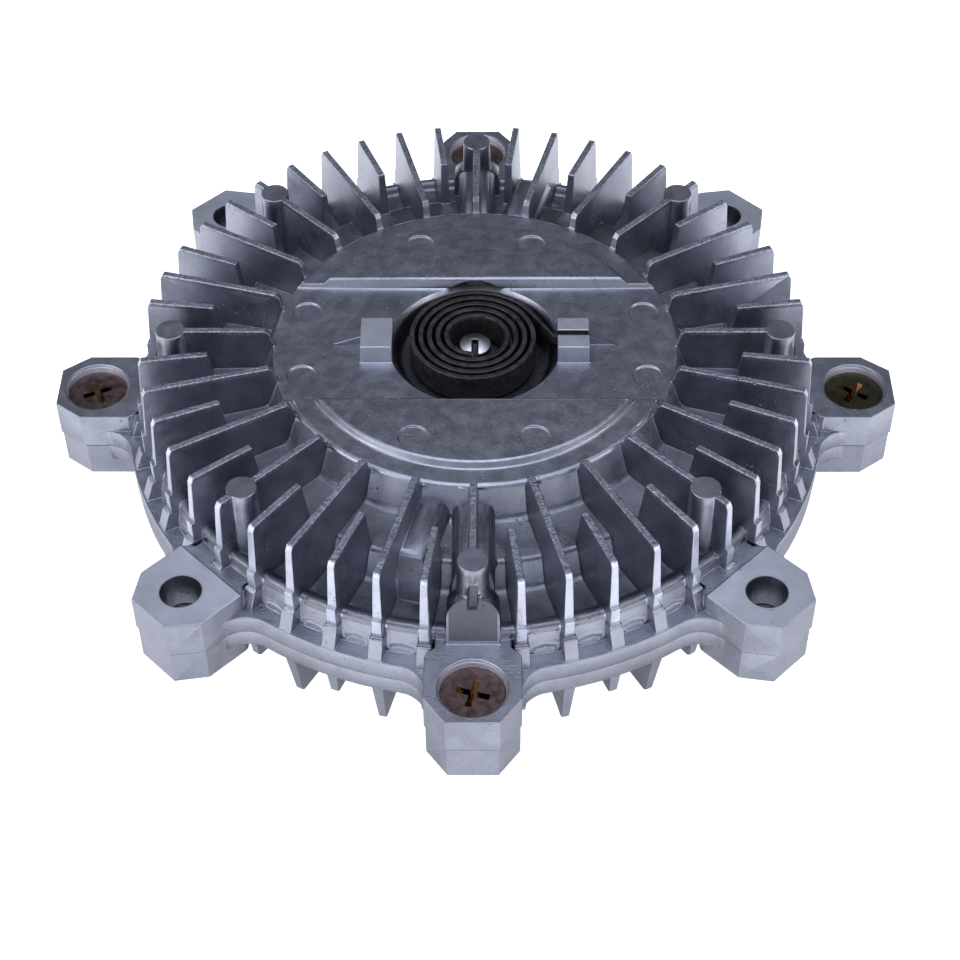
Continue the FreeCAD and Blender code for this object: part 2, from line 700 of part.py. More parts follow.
def fin_foot():
    """Thicker rib that carries a fin down over the rim."""
    top = FIN_TOP_Z - FIN_FACE_BASE - FIN_HEEL_DROP - FIN_NECK_HEIGHT
    low = SEAM_Z + RIM_UPPER_T - RUN_ON
    inner = RIM_R - BUMP_START
    side = outline([
        (inner, top), (RIM_R - FIN_FOOT_INSET, top, CAST_FINE), (RIM_R - FIN_FOOT_EDGE, low),
        (inner, low)], upright)
    side.translate(FreeCAD.Vector(0, -FIN_FOOT_T / 2, 0))
    return side.extrude(FreeCAD.Vector(0, FIN_FOOT_T, 0))


def fin_start():
    """Inner end of the long fins: out of the disc's wall, then up with a small chamfer."""
    foot = DISC_R - FIN_START_LEAN
    inner = DISC_R + FIN_START
    top = inner + FIN_START_LEAN
    return [
        (foot, MID_FLOOR_Z - RUN_ON), (foot, ANNULUS_Z - CAST_MEDIUM), (inner, ANNULUS_Z),
        (top, FIN_TOP_Z - FIN_INNER_CHAMFER), (top + FIN_INNER_CHAMFER, FIN_TOP_Z)]


def long_fin():
    root = SEAM_Z + RIM_UPPER_T
    corners = [(RIM_R - BUMP_START, root + RUN_ON), (DISC_R + DISC_WALL_RUN, MID_FLOOR_Z - RUN_ON)]
    side = fin_side_view(corners + fin_start())
    return drafted_fin(side, FIN_TOP_T, FIN_TOP_Z, FIN_ROOT_T, root - RUN_ON)


def short_fin():
    root = SEAM_Z + RIM_UPPER_T
    inner = SHORT_FIN_R - SHORT_FIN_LEAN
    corners = [
        (RIM_R - BUMP_START, root + RUN_ON), (STEP_R + STEP_RUN, LOW_FLOOR_Z - RUN_ON),
        (inner, LOW_FLOOR_Z - RUN_ON), (inner, MID_FLOOR_Z - FLOOR_FALL), (SHORT_FIN_R, FIN_TOP_Z)]
    return drafted_fin(fin_side_view(corners), FIN_TOP_T, FIN_TOP_Z, FIN_ROOT_T, root - RUN_ON)


def ear_fin():
    """Long fin over a screw ear: it stops at the post, and a low rib runs on to the pad."""
    end = POST_CIRCLE_R + POST_R
    low = LOW_FLOOR_Z - RUN_ON
    corners = [(POST_CIRCLE_R, low), (DISC_R + DISC_WALL_RUN, MID_FLOOR_Z - RUN_ON)] + fin_start() + [
        (POST_CIRCLE_R, FIN_TOP_Z), (end - FIN_START_LEAN, FIN_TOP_Z - RUN_ON),
        (end + PAD_WEB, EAR_TOP_Z + PAD_HEIGHT - PAD_WEB), (end + PAD_WEB, low)]
    root = SEAM_Z + RIM_UPPER_T - RUN_ON
    return drafted_fin(corners, FIN_TOP_T, FIN_TOP_Z, FIN_ROOT_T, root)


def fin_post():
    low = LOW_FLOOR_Z - RUN_ON
    return Part.makeCone(POST_R + POST_FLARE, POST_R, FIN_TOP_Z - low,
                         FreeCAD.Vector(POST_CIRCLE_R, 0, low))


def fluid_passage(start, length, offset):
    """Half-round bar on the cover, where the return passage is cored beneath."""
    crest = MID_FLOOR_Z + PASSAGE_RISE
    low = LOW_FLOOR_Z - RUN_ON
    section = outline([
        (offset - PASSAGE_R, low), (offset + PASSAGE_R, low),
        (offset + PASSAGE_R, crest, PASSAGE_ROUND), (offset - PASSAGE_R, crest, PASSAGE_ROUND)], facing)
    section.translate(FreeCAD.Vector(start, 0, 0))
    end = start + length
    side = outline([
        (start, low), (end, low), (end, MID_FLOOR_Z), (end - PASSAGE_ROUND, crest, PASSAGE_ROUND),
        (start, crest, CAST_LARGE)], upright)
    side.translate(FreeCAD.Vector(0, -2 * PASSAGE_R, 0))
    return section.extrude(FreeCAD.Vector(length, 0, 0)).common(
        side.extrude(FreeCAD.Vector(0, 4 * PASSAGE_R, 0)))


def ear_pad():
    """Leaning round-shouldered pad between a screw ear and the post behind it."""
    foot = RIM_R - PAD_INSET
    top = EAR_TOP_Z + PAD_HEIGHT
    low = SEAM_Z + RUN_ON
    back = POST_CIRCLE_R - RUN_ON
    face = outline([
        (-PAD_HALF_WIDTH, low), (PAD_HALF_WIDTH, low),
        (PAD_HALF_WIDTH, top, PAD_SHOULDER), (-PAD_HALF_WIDTH, top, PAD_SHOULDER)], facing)
    face.translate(FreeCAD.Vector(POST_CIRCLE_R, 0, 0))
    blank = face.extrude(FreeCAD.Vector(foot - POST_CIRCLE_R, 0, 0))
    side = outline([
        (back, low), (foot, low), (foot, EAR_TOP_Z), (foot - PAD_LEAN, top),
        (back, top)], upright)
    side.translate(FreeCAD.Vector(0, -EAR_HALF_WIDTH, 0))
    return blank.common(side.extrude(FreeCAD.Vector(0, 2 * EAR_HALF_WIDTH, 0)))


def cover_fins():
    solids = []
    long_one = long_fin()
    short_one = short_fin()
    over_ear = ear_fin()
    foot = fin_foot()
    for index in range(FIN_COUNT):
        azimuth = FIN_PITCH * index
        at_ear = index % FINS_PER_EAR == 0
        at_screw = index % (2 * FINS_PER_EAR) == 0
        if at_screw:
            solids.append(spun(over_ear, azimuth))
        else:
            solids.append(spun(long_one if index % 2 == 0 else short_one, azimuth))
            solids.append(spun(foot, azimuth))
        if at_ear:
            solids.append(spun(fin_post(), azimuth))
    return solids


def cover_passages():
    """Two bars in line with the bimetal's cross axis and two beside the fins next to them."""
    start = DISC_R + PASSAGE_START
    straight = fluid_passage(start, POST_CIRCLE_R - start, 0)
    beside = fluid_passage(start, PASSAGE_LENGTH, PASSAGE_OFFSET)
    return [spun(straight, 90), spun(straight, 270), spun(beside, 75), spun(beside, 255)]


def cover_ears():
    """Upper half of the ears above the rim, the plain ones with an as-cast step behind the face."""
    solids = []
    low = SEAM_Z + RIM_UPPER_T - RUN_ON
    inner = RIM_R - BUMP_CROWN
    for index in range(EAR_COUNT):
        azimuth = EAR_PITCH * index
        skin = ear_block(0, inner, low, EAR_TOP_Z - EAR_SKIN_STEP)
        face = ear_block(0, EAR_CIRCLE_R - MACHINED_EDGE if index % 2 else inner, low, EAR_TOP_Z)
        solids.append(spun(skin.fuse(face), azimuth))
    return solids


def screw_hole():
    """Countersunk hole through the cover's half of an ear, with its wider machined mouth."""
    seat = EAR_TOP_Z - SCREW_SINK - SCREW_HEAD_RIM
    wall = SCREW_HEAD_R + SCREW_HEAD_GAP
    hole = SCREW_R + SCREW_FIT
    cutter = turned([
        (0, SEAM_Z - RUN_ON), (hole, SEAM_Z - RUN_ON), (hole, seat - (SCREW_HEAD_R - hole)),
        (wall, seat + SCREW_HEAD_GAP), (wall, EAR_TOP_Z - MOUTH_DEPTH),
        (MOUTH_R, EAR_TOP_Z), (MOUTH_R, EAR_TOP_Z + RUN_ON), (0, EAR_TOP_Z + RUN_ON)])
    cutter.translate(FreeCAD.Vector(EAR_CIRCLE_R, 0, 0))
    return cutter


def rivet_holes():
    hole = rod(RIVET_CIRCLE_R, 0, RIVET_R, CEILING_Z - RUN_ON, PLATE_TOP_Z + RIVET_DEPTH)
    return around(hole, RIVET_COUNT, RIVET_ANGLE)


def front_cover():
    body = cover_body()
    body = body.cut([coil_channel(), coil_pocket()] + ejector_marks())
    rim = rim_plate(RIM_R, 0, SPIGOT_R, SEAM_Z, SEAM_Z + RIM_UPPER_T)
    added = [rim] + cover_ears() + cover_fins() + cover_passages() + around(ear_pad(), EAR_COUNT // 2)
    added += [coil_holder(True), coil_holder(False)]
    body = body.fuse(added)
    fan_hole = rod(EAR_CIRCLE_R, 0, FAN_HOLE_R, SEAM_Z - RUN_ON, EAR_TOP_Z + RUN_ON)
    cuts = around(screw_hole(), EAR_COUNT // 2) + around(fan_hole, EAR_COUNT // 2, EAR_PITCH)
    return whole(body.cut(cuts + rivet_holes()))


# Rear case


def case_body():
    under = SEAM_Z - RIM_LOWER_T
    rim = RIM_R - CASE_STEP
    snap_top = BEARING_TOP_Z + SNAP_T
    return turned([
        (CASE_BORE_R, SEAM_Z), (GROOVE_INNER_R, SEAM_Z), (GROOVE_INNER_R, SEAM_Z - SEAL_GROOVE_DEPTH),
        (GROOVE_OUTER_R, SEAM_Z - SEAL_GROOVE_DEPTH), (GROOVE_OUTER_R, SEAM_Z),
        (rim - RUN_ON, SEAM_Z), (rim - RUN_ON, under), (RIM_R - BUMP_FOOT, under, CAST_SMALL),
        (RIM_R - CASE_SHOULDER, CASE_UNDER_Z, CAST_LARGE),
        (HUB_R + HUB_DRAFT, CASE_UNDER_Z, CAST_LARGE), (HUB_R, HUB_BOTTOM_Z, CAST_MEDIUM),
        (BEARING_OUTER_R - HUB_LIP_W, HUB_BOTTOM_Z, CAST_FINE),
        (BEARING_OUTER_R - HUB_LIP_W, BEARING_Z), (BEARING_OUTER_R, BEARING_Z),
        (BEARING_OUTER_R, BEARING_TOP_Z), (BEARING_OUTER_R + SNAP_GROOVE, BEARING_TOP_Z),
        (BEARING_OUTER_R + SNAP_GROOVE, snap_top), (BEARING_OUTER_R, snap_top),
        (BEARING_OUTER_R, CASE_FLOOR_Z, CAST_FINE), (CASE_BORE_R, CASE_FLOOR_Z, CAST_SMALL)])


def rear_fin(inner, drop):
    """Radial fin under the case: level lower edge, and an outer end that leans in downwards."""
    tip = CASE_UNDER_Z - drop
    under = SEAM_Z - RIM_LOWER_T
    lean = REAR_FIN_INSET * (under - tip) / (under - CASE_UNDER_Z + REAR_FIN_DROP)
    edge = CAST_SMALL
    side = [
        (inner, CASE_UNDER_Z + RUN_ON), (inner, tip), (RIM_R - lean - edge, tip),
        (RIM_R - lean, tip + edge), (RIM_R - edge, under + edge), (RIM_R - BUMP_FOOT, under + edge),
        (RIM_R - CASE_SHOULDER, CASE_UNDER_Z + RUN_ON)]
    return drafted_fin(side, REAR_FIN_TIP_T, tip, FIN_ROOT_T, under + RUN_ON)


def rear_fins():
    long_one = rear_fin(HUB_R - RUN_ON, REAR_FIN_DROP)
    short_one = rear_fin(REAR_SHORT_FIN_R, REAR_SHORT_FIN_DROP)
    half = FIN_COUNT // 2
    return around(long_one, half) + around(short_one, half, FIN_PITCH)


def rear_case():
    under = SEAM_Z - RIM_LOWER_T
    rim = rim_plate(RIM_R - CASE_STEP, CASE_STEP, GROOVE_OUTER_R, under, SEAM_Z)
    ear = ear_block(CASE_STEP, RIM_R - BUMP_FOOT, EAR_BOTTOM_Z, under + RUN_ON)
    body = case_body().fuse([rim] + around(ear, EAR_COUNT) + rear_fins())
    low = EAR_BOTTOM_Z - RUN_ON
    high = SEAM_Z + RUN_ON
    tapped = rod(EAR_CIRCLE_R, 0, SCREW_R, low, high)
    fan_hole = rod(EAR_CIRCLE_R, 0, FAN_HOLE_R, low, high)
    bolts = around(tapped, EAR_COUNT // 2) + around(fan_hole, EAR_COUNT // 2, EAR_PITCH)
    return whole(body.cut(bolts))


def cover_seal_ring():
    return ring(GROOVE_INNER_R + SEAL_RING_SIDE_GAP, GROOVE_OUTER_R - SEAL_RING_SIDE_GAP,
                SEAM_Z - SEAL_GROOVE_DEPTH, SEAM_Z)


def cover_screw(cross):
    """Countersunk screw along +X's ear, its cross recess turned by an angle; it threads into the rear case."""
    top = EAR_TOP_Z - SCREW_SINK
    rim = top - SCREW_HEAD_RIM
    tip = top - SCREW_LENGTH
    body = turned([
        (0, tip), (SCREW_R, tip, TURNED_EDGE), (SCREW_R, rim - (SCREW_HEAD_R - SCREW_R)),
        (SCREW_HEAD_R, rim), (SCREW_HEAD_R, top, CAST_FINE), (0, top)])
    arm = outline([
        (-RECESS_ARM, top + RUN_ON), (-RECESS_ARM, top), (-RECESS_SLOT / 2, top - RECESS_DEPTH),
        (RECESS_SLOT / 2, top - RECESS_DEPTH), (RECESS_ARM, top), (RECESS_ARM, top + RUN_ON)], upright)
    arm.translate(FreeCAD.Vector(0, -RECESS_SLOT / 2, 0))
    arm = arm.extrude(FreeCAD.Vector(0, RECESS_SLOT, 0))
    body = body.cut([spun(arm, cross), spun(arm, cross + 90)])
    body.translate(FreeCAD.Vector(EAR_CIRCLE_R, 0, 0))
    return whole(body)


# Partition plate and valve


def partition_plate():
    body = Part.makeCylinder(PLATE_R, PLATE_T, FreeCAD.Vector(0, 0, CEILING_Z))
    low = CEILING_Z - RUN_ON
    high = PLATE_TOP_Z + RUN_ON
    ports = around(rod(ARM_LENGTH, 0, PLATE_PORT_R, low, high), 2)
    returns = around(rod(PLATE_R - PLATE_RETURN_INSET, 0, PLATE_RETURN_R, low, high), 2, 90)
    rivets = around(rod(RIVET_CIRCLE_R, 0, RIVET_R, low, high), RIVET_COUNT, RIVET_ANGLE)
    return whole(body.cut(ports + returns + rivets))


def partition_rivets():
    rivet = turned([
        (0, CEILING_Z - RIVET_HEAD_T), (RIVET_HEAD_R, CEILING_Z - RIVET_HEAD_T, CAST_FINE),
        (RIVET_HEAD_R, CEILING_Z), (RIVET_R, CEILING_Z),
        (RIVET_R, PLATE_TOP_Z + RIVET_DEPTH), (0, PLATE_TOP_Z + RIVET_DEPTH)])
    rivet.translate(FreeCAD.Vector(RIVET_CIRCLE_R, 0, 0))
    return Part.makeCompound(around(rivet, RIVET_COUNT, RIVET_ANGLE))


def valve_arm():
    """Flat spring-steel arm with a paddle over each port, riveted to the valve shaft."""
    corners = [
        (-ARM_LENGTH, -ARM_HALF_WIDTH), (ARM_LENGTH, -ARM_HALF_WIDTH),
        (ARM_LENGTH, ARM_HALF_WIDTH), (-ARM_LENGTH, ARM_HALF_WIDTH)]
    body = slab(corners, ARM_Z, ARM_Z + ARM_T)
    paddle = rod(ARM_LENGTH, 0, PADDLE_R, ARM_Z, ARM_Z + ARM_T)
    hub = rod(0, 0, VALVE_RIVET_R + VALVE_SHAFT_R, ARM_Z, ARM_Z + ARM_T)
    body = body.fuse(around(paddle, 2) + [hub])
    return whole(body.cut(rod(0, 0, VALVE_RIVET_R, ARM_Z - RUN_ON, ARM_Z + ARM_T + RUN_ON)))


def valve_shaft():
    """Turned shaft: riveted end, clip groove, seal groove, and the slotted head for the coil."""
    clip_top = BOSS_Z - CLIP_GAP
    seal_low = POCKET_UNDER_Z + O_RING_FLOOR - O_RING_W
    body = turned([
        (0, ARM_Z), (VALVE_RIVET_R, ARM_Z), (VALVE_RIVET_R, ARM_Z + ARM_T),
        (VALVE_SHAFT_R, ARM_Z + ARM_T), (VALVE_SHAFT_R, clip_top - CLIP_T),
        (VALVE_SHAFT_R - CLIP_GROOVE, clip_top - CLIP_T), (VALVE_SHAFT_R - CLIP_GROOVE, clip_top),
        (VALVE_SHAFT_R, clip_top), (VALVE_SHAFT_R, seal_low),
        (VALVE_SHAFT_R - O_RING_DEPTH, seal_low), (VALVE_SHAFT_R - O_RING_DEPTH, seal_low + O_RING_W),
        (VALVE_SHAFT_R, seal_low + O_RING_W), (VALVE_SHAFT_R, POCKET_Z + CLIP_GAP),
        (VALVE_HEAD_R, POCKET_Z + CLIP_GAP), (VALVE_HEAD_R, VALVE_TOP_Z - VALVE_DOME, CAST_FINE),
        (VALVE_HEAD_R / 2, VALVE_TOP_Z - VALVE_DOME / 4, VALVE_HEAD_R), (0, VALVE_TOP_Z)])
    low = COIL_Z - VALVE_SLOT_FLOOR
    slot = Part.makeBox(
        VALVE_SLOT, VALVE_HEAD_R + RUN_ON, VALVE_TOP_Z - low + RUN_ON,
        FreeCAD.Vector(-VALVE_SLOT / 2, VALVE_SLOT_REACH - VALVE_HEAD_R - RUN_ON, low))
    return whole(body.cut(slot))


def valve_shaft_o_ring():
    low = POCKET_UNDER_Z + O_RING_FLOOR - O_RING_W
    high = low + O_RING_W - O_RING_SIDE_GAP
    low += O_RING_SIDE_GAP
    floor = VALVE_SHAFT_R - O_RING_DEPTH
    return turned([
        (floor, low, CAST_FINE), (VALVE_SHAFT_R, low, CAST_FINE),
        (VALVE_SHAFT_R, high, CAST_FINE), (floor, high, CAST_FINE)])


def valve_shaft_clip():
    top = BOSS_Z - CLIP_GAP
    body = ring(VALVE_SHAFT_R - CLIP_GROOVE, CLIP_R, top - CLIP_T, top)
    mouth = Part.makeBox(CLIP_R + RUN_ON, CLIP_MOUTH, CLIP_T + 2 * RUN_ON,
                         FreeCAD.Vector(0, -CLIP_MOUTH / 2, top - CLIP_T - RUN_ON))
    return whole(body.cut(mouth))


def coil_radius(sweep, total):
    """Radius of the strip's middle line, from the outer turn in to the inner one."""
    return COIL_INNER_R + COIL_PITCH * (total - sweep) / 360


def spiral_side(offset, total):
    """One long side of the coil's strip, as a curve, with its outer and inner ends."""
    steps = int(ceil(total / COIL_STEP))
    points = []
    for index in range(steps + 1):
        sweep = total * index / steps
        radius = COIL_INNER_R + COIL_PITCH * (total - sweep) / 360 + offset
        points.append(spin_point(radius, 0, COIL_LEAVE_ANGLE + sweep))
    curve = Part.BSplineCurve()
    curve.interpolate(points)
    return curve.toShape(), points[0], points[-1]


def bimetal_coil():
    """Flat spiral strip: straight into the slotted holder outside, bent into the shaft's slot inside."""
    total = 360 * COIL_TURNS + TANG_ANGLE - COIL_LEAVE_ANGLE
    half = COIL_STRIP_T / 2
    near, near_start, near_stop = spiral_side(-half, total)
    far, far_start, far_stop = spiral_side(half, total)
    bend = POCKET_R - COIL_LEAD_INSET
    end = POCKET_R + HOLDER_REACH - COIL_LEAD_INSET
    lead = [far_start, level(bend, half), level(end, half), level(end, -half), level(bend, -half), near_start]
    edges = [far, near, Part.LineSegment(near_stop, far_stop).toShape()]
    for start, stop in zip(lead[:-1], lead[1:]):
        edges.append(Part.LineSegment(start, stop).toShape())
    face = Part.Face(Part.Wire(Part.sortEdges(edges)[0]))
    face.translate(AXIS * COIL_Z)
    strip = face.extrude(AXIS * COIL_HEIGHT)
    tang = Part.makeBox(COIL_STRIP_T, COIL_INNER_R + half - TANG_GAP, VALVE_TOP_Z - COIL_Z - TANG_GAP,
                        FreeCAD.Vector(-half, -COIL_INNER_R - half, COIL_Z))
    seat = CHANNEL_Z + HOLDER_SLOT_FLOOR + COIL_SEAT_GAP
    start = POCKET_R - POCKET_DRAFT - COIL_LEAD_INSET
    relief = Part.makeBox(HOLDER_REACH + 4 * RUN_ON, 5 * HOLDER_SLOT, seat - COIL_Z + RUN_ON,
                          FreeCAD.Vector(start, -2 * HOLDER_SLOT, COIL_Z - RUN_ON))
    return whole(strip.fuse(tang).cut(relief))


def save(name, shape):
    if not shape.isValid():
        raise ValueError(name + " is not valid")
    shape.exportStep("parts/" + name + ".step")
    print(name, len(shape.Solids), "solids", round(shape.Volume, 1), "mm3")


def main():
    os.makedirs("parts", exist_ok=True)
    save("drive_shaft", drive_shaft())
    save("rotor_disc", rotor_disc())
    save("rotor_spacer", rotor_spacer())
    save("rotor_washer", rotor_washer())
    save("rotor_nut", rotor_nut())
    save("bearing_inner_ring", bearing_inner_ring())
    save("bearing_outer_ring", bearing_outer_ring())
    save("bearing_seal_rear", bearing_seal(BEARING_Z + SEAL_INSET))
    save("bearing_seal_front", bearing_seal(BEARING_TOP_Z - SEAL_INSET - SEAL_T))
    save("bearing_balls", bearing_balls())
    save("bearing_cage", bearing_cage())
    save("bearing_retaining_ring", bearing_retaining_ring())
    save("rear_case", rear_case())
    save("cover_seal_ring", cover_seal_ring())
    save("front_cover", front_cover())
    for number, cross in enumerate(SCREW_CROSS_ANGLES, 1):
        azimuth = 360 * (number - 1) / len(SCREW_CROSS_ANGLES)
        save("cover_screw_" + str(number), spun(cover_screw(cross), azimuth))
    save("partition_plate", partition_plate())
    save("partition_rivets", partition_rivets())
    save("valve_arm", valve_arm())
    save("valve_shaft", valve_shaft())
    save("valve_shaft_o_ring", valve_shaft_o_ring())
    save("valve_shaft_clip", valve_shaft_clip())
    save("bimetal_coil", bimetal_coil())


main()
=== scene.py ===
import math

import bpy
from bpy.props import FloatProperty, FloatVectorProperty, PointerProperty
from mathutils import Matrix, Vector

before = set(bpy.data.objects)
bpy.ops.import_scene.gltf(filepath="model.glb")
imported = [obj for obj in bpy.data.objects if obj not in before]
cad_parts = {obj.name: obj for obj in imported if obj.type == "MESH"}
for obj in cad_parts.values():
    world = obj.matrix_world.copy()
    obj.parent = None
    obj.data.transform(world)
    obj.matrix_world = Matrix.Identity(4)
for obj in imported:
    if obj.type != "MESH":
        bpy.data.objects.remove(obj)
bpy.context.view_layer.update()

bl_info = {
    "name": "Fan clutch looks",
    "version": (1, 0, 0),
    "blender": (4, 5, 0),
    "location": "View3D > Sidebar > Fan clutch",
    "description": "Materials, edge rounding, camera and lights for a viscous fan clutch",
    "category": "Object",
}

MM = 0.001

# Heights and radii of the part that the finishes follow, in metres
EAR_TOP = 46.0 * MM
SEAM = 37.5 * MM
EAR_CIRCLE = 80.0 * MM
MOUTH_R = 6.5 * MM
SCREW_TOP = 44.4 * MM
RECESS_R = 3.9 * MM
POCKET_R = 17.0 * MM
CHANNEL_FLOOR = 58.5 * MM
HOLDER_TOP = 61.6 * MM
FIN_TOP = 62.35 * MM
DISC_R = 43.0 * MM
POST_CIRCLE = 62.8 * MM
POST_R = 3.2 * MM
FIN_COUNT = 48
PAD_HALF = 5.1 * MM
PAD_FACE_R = 65.9 * MM
PAD_FOOT_R = 69.6 * MM
PAD_CLEAR = 0.2 * MM
FIN_HALF = 1.5 * MM
HOLE_R = 4.1 * MM
WALL_INNER_R = 66.0 * MM
WALL_OUTER_R = 71.0 * MM
VALLEY_TOP = 58.0 * MM
EAR_COUNT = 8
MILLED_BAND = 0.06 * MM

# How much painted shade darkens the bare casting in the coil's pocket, on the pads, between the fins and in
# the ear holes, and how much painted light brightens the fins' ends and sides
POCKET_SHADE = 0.5
PAD_SHADE = 0.55
FLOOR_SHADE = 0.42
WALL_SHADE = 0.32
HOLE_SHADE = 0.35
FIN_END_HIGHLIGHT = 0.75
FIN_SIDE_LIGHT = 0.22

# Edge rounding of the small pieces, and which edges count as sharp
COIL_EDGE = 0.15 * MM
SHAFT_EDGE = 0.08 * MM
WELD = 0.001 * MM
SHARP_DEGREES = 60

# Where the photograph was taken from, in the part's frame: metres, and yaw, pitch down and roll in degrees
CAMERA_PLACE = Vector((0.00380, -0.31684, 0.35352))
CAMERA_TURN = (0.533, 46.703, -0.363)
SENSOR_WIDTH = 36.0

# The stage: half the floor's side, and the point and colour of the soft lamps
FLOOR_HALF = 3.0
LAMP_AIM = Vector((0, 0, 0.04))
LAMP_COLOUR = (0.97, 0.98, 1.0)


class ClutchFinish(bpy.types.PropertyGroup):
    cast_colour: FloatVectorProperty(
        name="Cast aluminium", description="Colour of the bare die casting",
        subtype="COLOR", size=3, min=0, max=1, default=(0.392, 0.403, 0.458))
    machined_colour: FloatVectorProperty(
        name="Machined aluminium", description="Colour of the milled ear faces",
        subtype="COLOR", size=3, min=0, max=1, default=(0.72, 0.74, 0.80))
    bimetal_colour: FloatVectorProperty(
        name="Bimetal", description="Colour of the heat-blackened strip",
        subtype="COLOR", size=3, min=0, max=1, default=(0.090, 0.080, 0.084))
    screw_colour: FloatVectorProperty(
        name="Screws", description="Colour of the phosphated cover screws",
        subtype="COLOR", size=3, min=0, max=1, default=(0.150, 0.104, 0.096))
    olive_colour: FloatVectorProperty(
        name="Olive screws", description="The greener phosphate that some of the screws carry",
        subtype="COLOR", size=3, min=0, max=1, default=(0.065, 0.060, 0.036))
    mouth_colour: FloatVectorProperty(
        name="Screw sinks", description="Colour of the bright cut walls round the cover screws",
        subtype="COLOR", size=3, min=0, max=1, default=(0.90, 0.86, 0.93))
    temper_colour: FloatVectorProperty(
        name="Recess", description="Golden brown inside the screws' recesses",
        subtype="COLOR", size=3, min=0, max=1, default=(0.40, 0.14, 0.085))
    zinc_colour: FloatVectorProperty(
        name="Zinc", description="Colour of the plated valve shaft",
        subtype="COLOR", size=3, min=0, max=1, default=(0.72, 0.72, 0.73))
    steel_colour: FloatVectorProperty(
        name="Turned steel", description="Colour of the shaft, washer and nut",
        subtype="COLOR", size=3, min=0, max=1, default=(0.50, 0.495, 0.49))
    grain_size: FloatProperty(
        name="Cast grain", description="Size of the casting's surface grain",
        subtype="DISTANCE", unit="LENGTH", min=0.00005, max=0.002, default=0.0004)
    edge_radius: FloatProperty(
        name="Edge radius", description="Rounding of the castings' edges",
        subtype="DISTANCE", unit="LENGTH", min=0, max=0.0005, default=0.0002)


class ClutchStage(bpy.types.PropertyGroup):
    lens: FloatProperty(
        name="Lens", description="Focal length on a 36 mm sensor, in millimetres",
        min=20, max=200, default=78.25)
    sky_low: FloatProperty(
        name="Low sky", description="Strength of the dim room round the part", min=0, max=2, default=0.10)
    sky_high: FloatProperty(
        name="Overhead", description="Strength of the bright ceiling", min=0, max=4, default=2.3)
    sky_front: FloatProperty(
        name="Front sky", description="Strength added in front of the part", min=0, max=2, default=0.85)
    sky_left: FloatProperty(
        name="Left sky", description="Strength added on the left", min=0, max=2, default=0.25)
    side_power: FloatProperty(
        name="Side lamps", description="Power of each soft lamp at the sides",
        unit="POWER", min=0, max=100, default=2.0)
    floor_level: FloatProperty(
        name="Floor", description="How white the floor shows", min=0, max=2, default=1.0)
    floor_mirrored: FloatProperty(
        name="Floor in metal",
        description="How bright the floor is where the metal mirrors it, away from the part's shadow",
        min=0, max=2, default=0.9)


def finish_settings():
    return bpy.context.scene.clutch_finish


def stage_settings():
    return bpy.context.scene.clutch_stage


# Node helpers


class Net:
    """A node tree with short ways to add nodes and join them."""

    def __init__(self, tree):
        self.tree = tree

    def add(self, kind, inputs=None, **settings):
        node = self.tree.nodes.new(kind)
        for key, value in settings.items():
            setattr(node, key, value)
        for key, value in (inputs or {}).items():
            self.put(node.inputs[key], value)
        return node

    def put(self, socket, value):
        if isinstance(value, bpy.types.NodeSocket):
            self.tree.links.new(value, socket)
        elif isinstance(value, bpy.types.Node):
            self.tree.links.new(value.outputs[0], socket)
        else:
            socket.default_value = value

    def math(self, operation, a, b=0.0):
        return self.add("ShaderNodeMath", {0: a, 1: b}, operation=operation).outputs[0]

    def product(self, first, *others):
        for value in others:
            first = self.math("MULTIPLY", first, value)
        return first

    def over(self, value, limit):
        return self.math("GREATER_THAN", value, limit)

    def under(self, value, limit):
        return self.math("LESS_THAN", value, limit)

    def ramp(self, value, low, high, to_low=0.0, to_high=1.0):
        node = self.add("ShaderNodeMapRange", {
            "Value": value, "From Min": low, "From Max": high,
            "To Min": to_low, "To Max": to_high})
        node.interpolation_type = "SMOOTHSTEP"
        return node.outputs[0]

    def noise(self, place, size, detail=2.0, roughness=0.5, distortion=0.0):
        node = self.add("ShaderNodeTexNoise", {
            "Vector": place, "Scale": 1.0 / size, "Detail": detail,
            "Roughness": roughness, "Distortion": distortion})
        return node.outputs["Fac"]

    def mix(self, factor, a, b, blend="MIX"):
        node = self.add("ShaderNodeMix", data_type="RGBA", blend_type=blend)
        self.put(node.inputs[0], factor)
        self.put(node.inputs[6], a)
        self.put(node.inputs[7], b)
        return node.outputs[2]

    def tinted(self, colour, tone):
        """The colour times a grey tone."""
        grey = self.add("ShaderNodeCombineColor", {0: tone, 1: tone, 2: tone})
        return self.mix(1.0, colour, grey.outputs[0], "MULTIPLY")

    def length(self, x, y):
        squares = self.math("ADD", self.math("MULTIPLY", x, x), self.math("MULTIPLY", y, y))
        return self.math("SQRT", squares)

    def blend(self, factor, a, b):
        """Mixes two numbers, where mix does so with colours."""
        node = self.add("ShaderNodeMix")
        for index, value in enumerate((factor, a, b)):
            self.put(node.inputs[(0, 2, 3)[index]], value)
        return node.outputs[0]


def new_group(name, inputs, outputs):
    """An empty node group with named sockets; returns its net, its input node and its output node."""
    group = bpy.data.node_groups.new(name, "ShaderNodeTree")
    for label, kind, value in inputs:
        socket = group.interface.new_socket(name=label, in_out="INPUT", socket_type="NodeSocket" + kind)
        if value is not None:
            socket.default_value = value
    for label, kind in outputs:
        group.interface.new_socket(name=label, in_out="OUTPUT", socket_type="NodeSocket" + kind)
    net = Net(group)
    return net, net.add("NodeGroupInput"), net.add("NodeGroupOutput")


def rgba(colour):
    return (colour[0], colour[1], colour[2], 1.0)


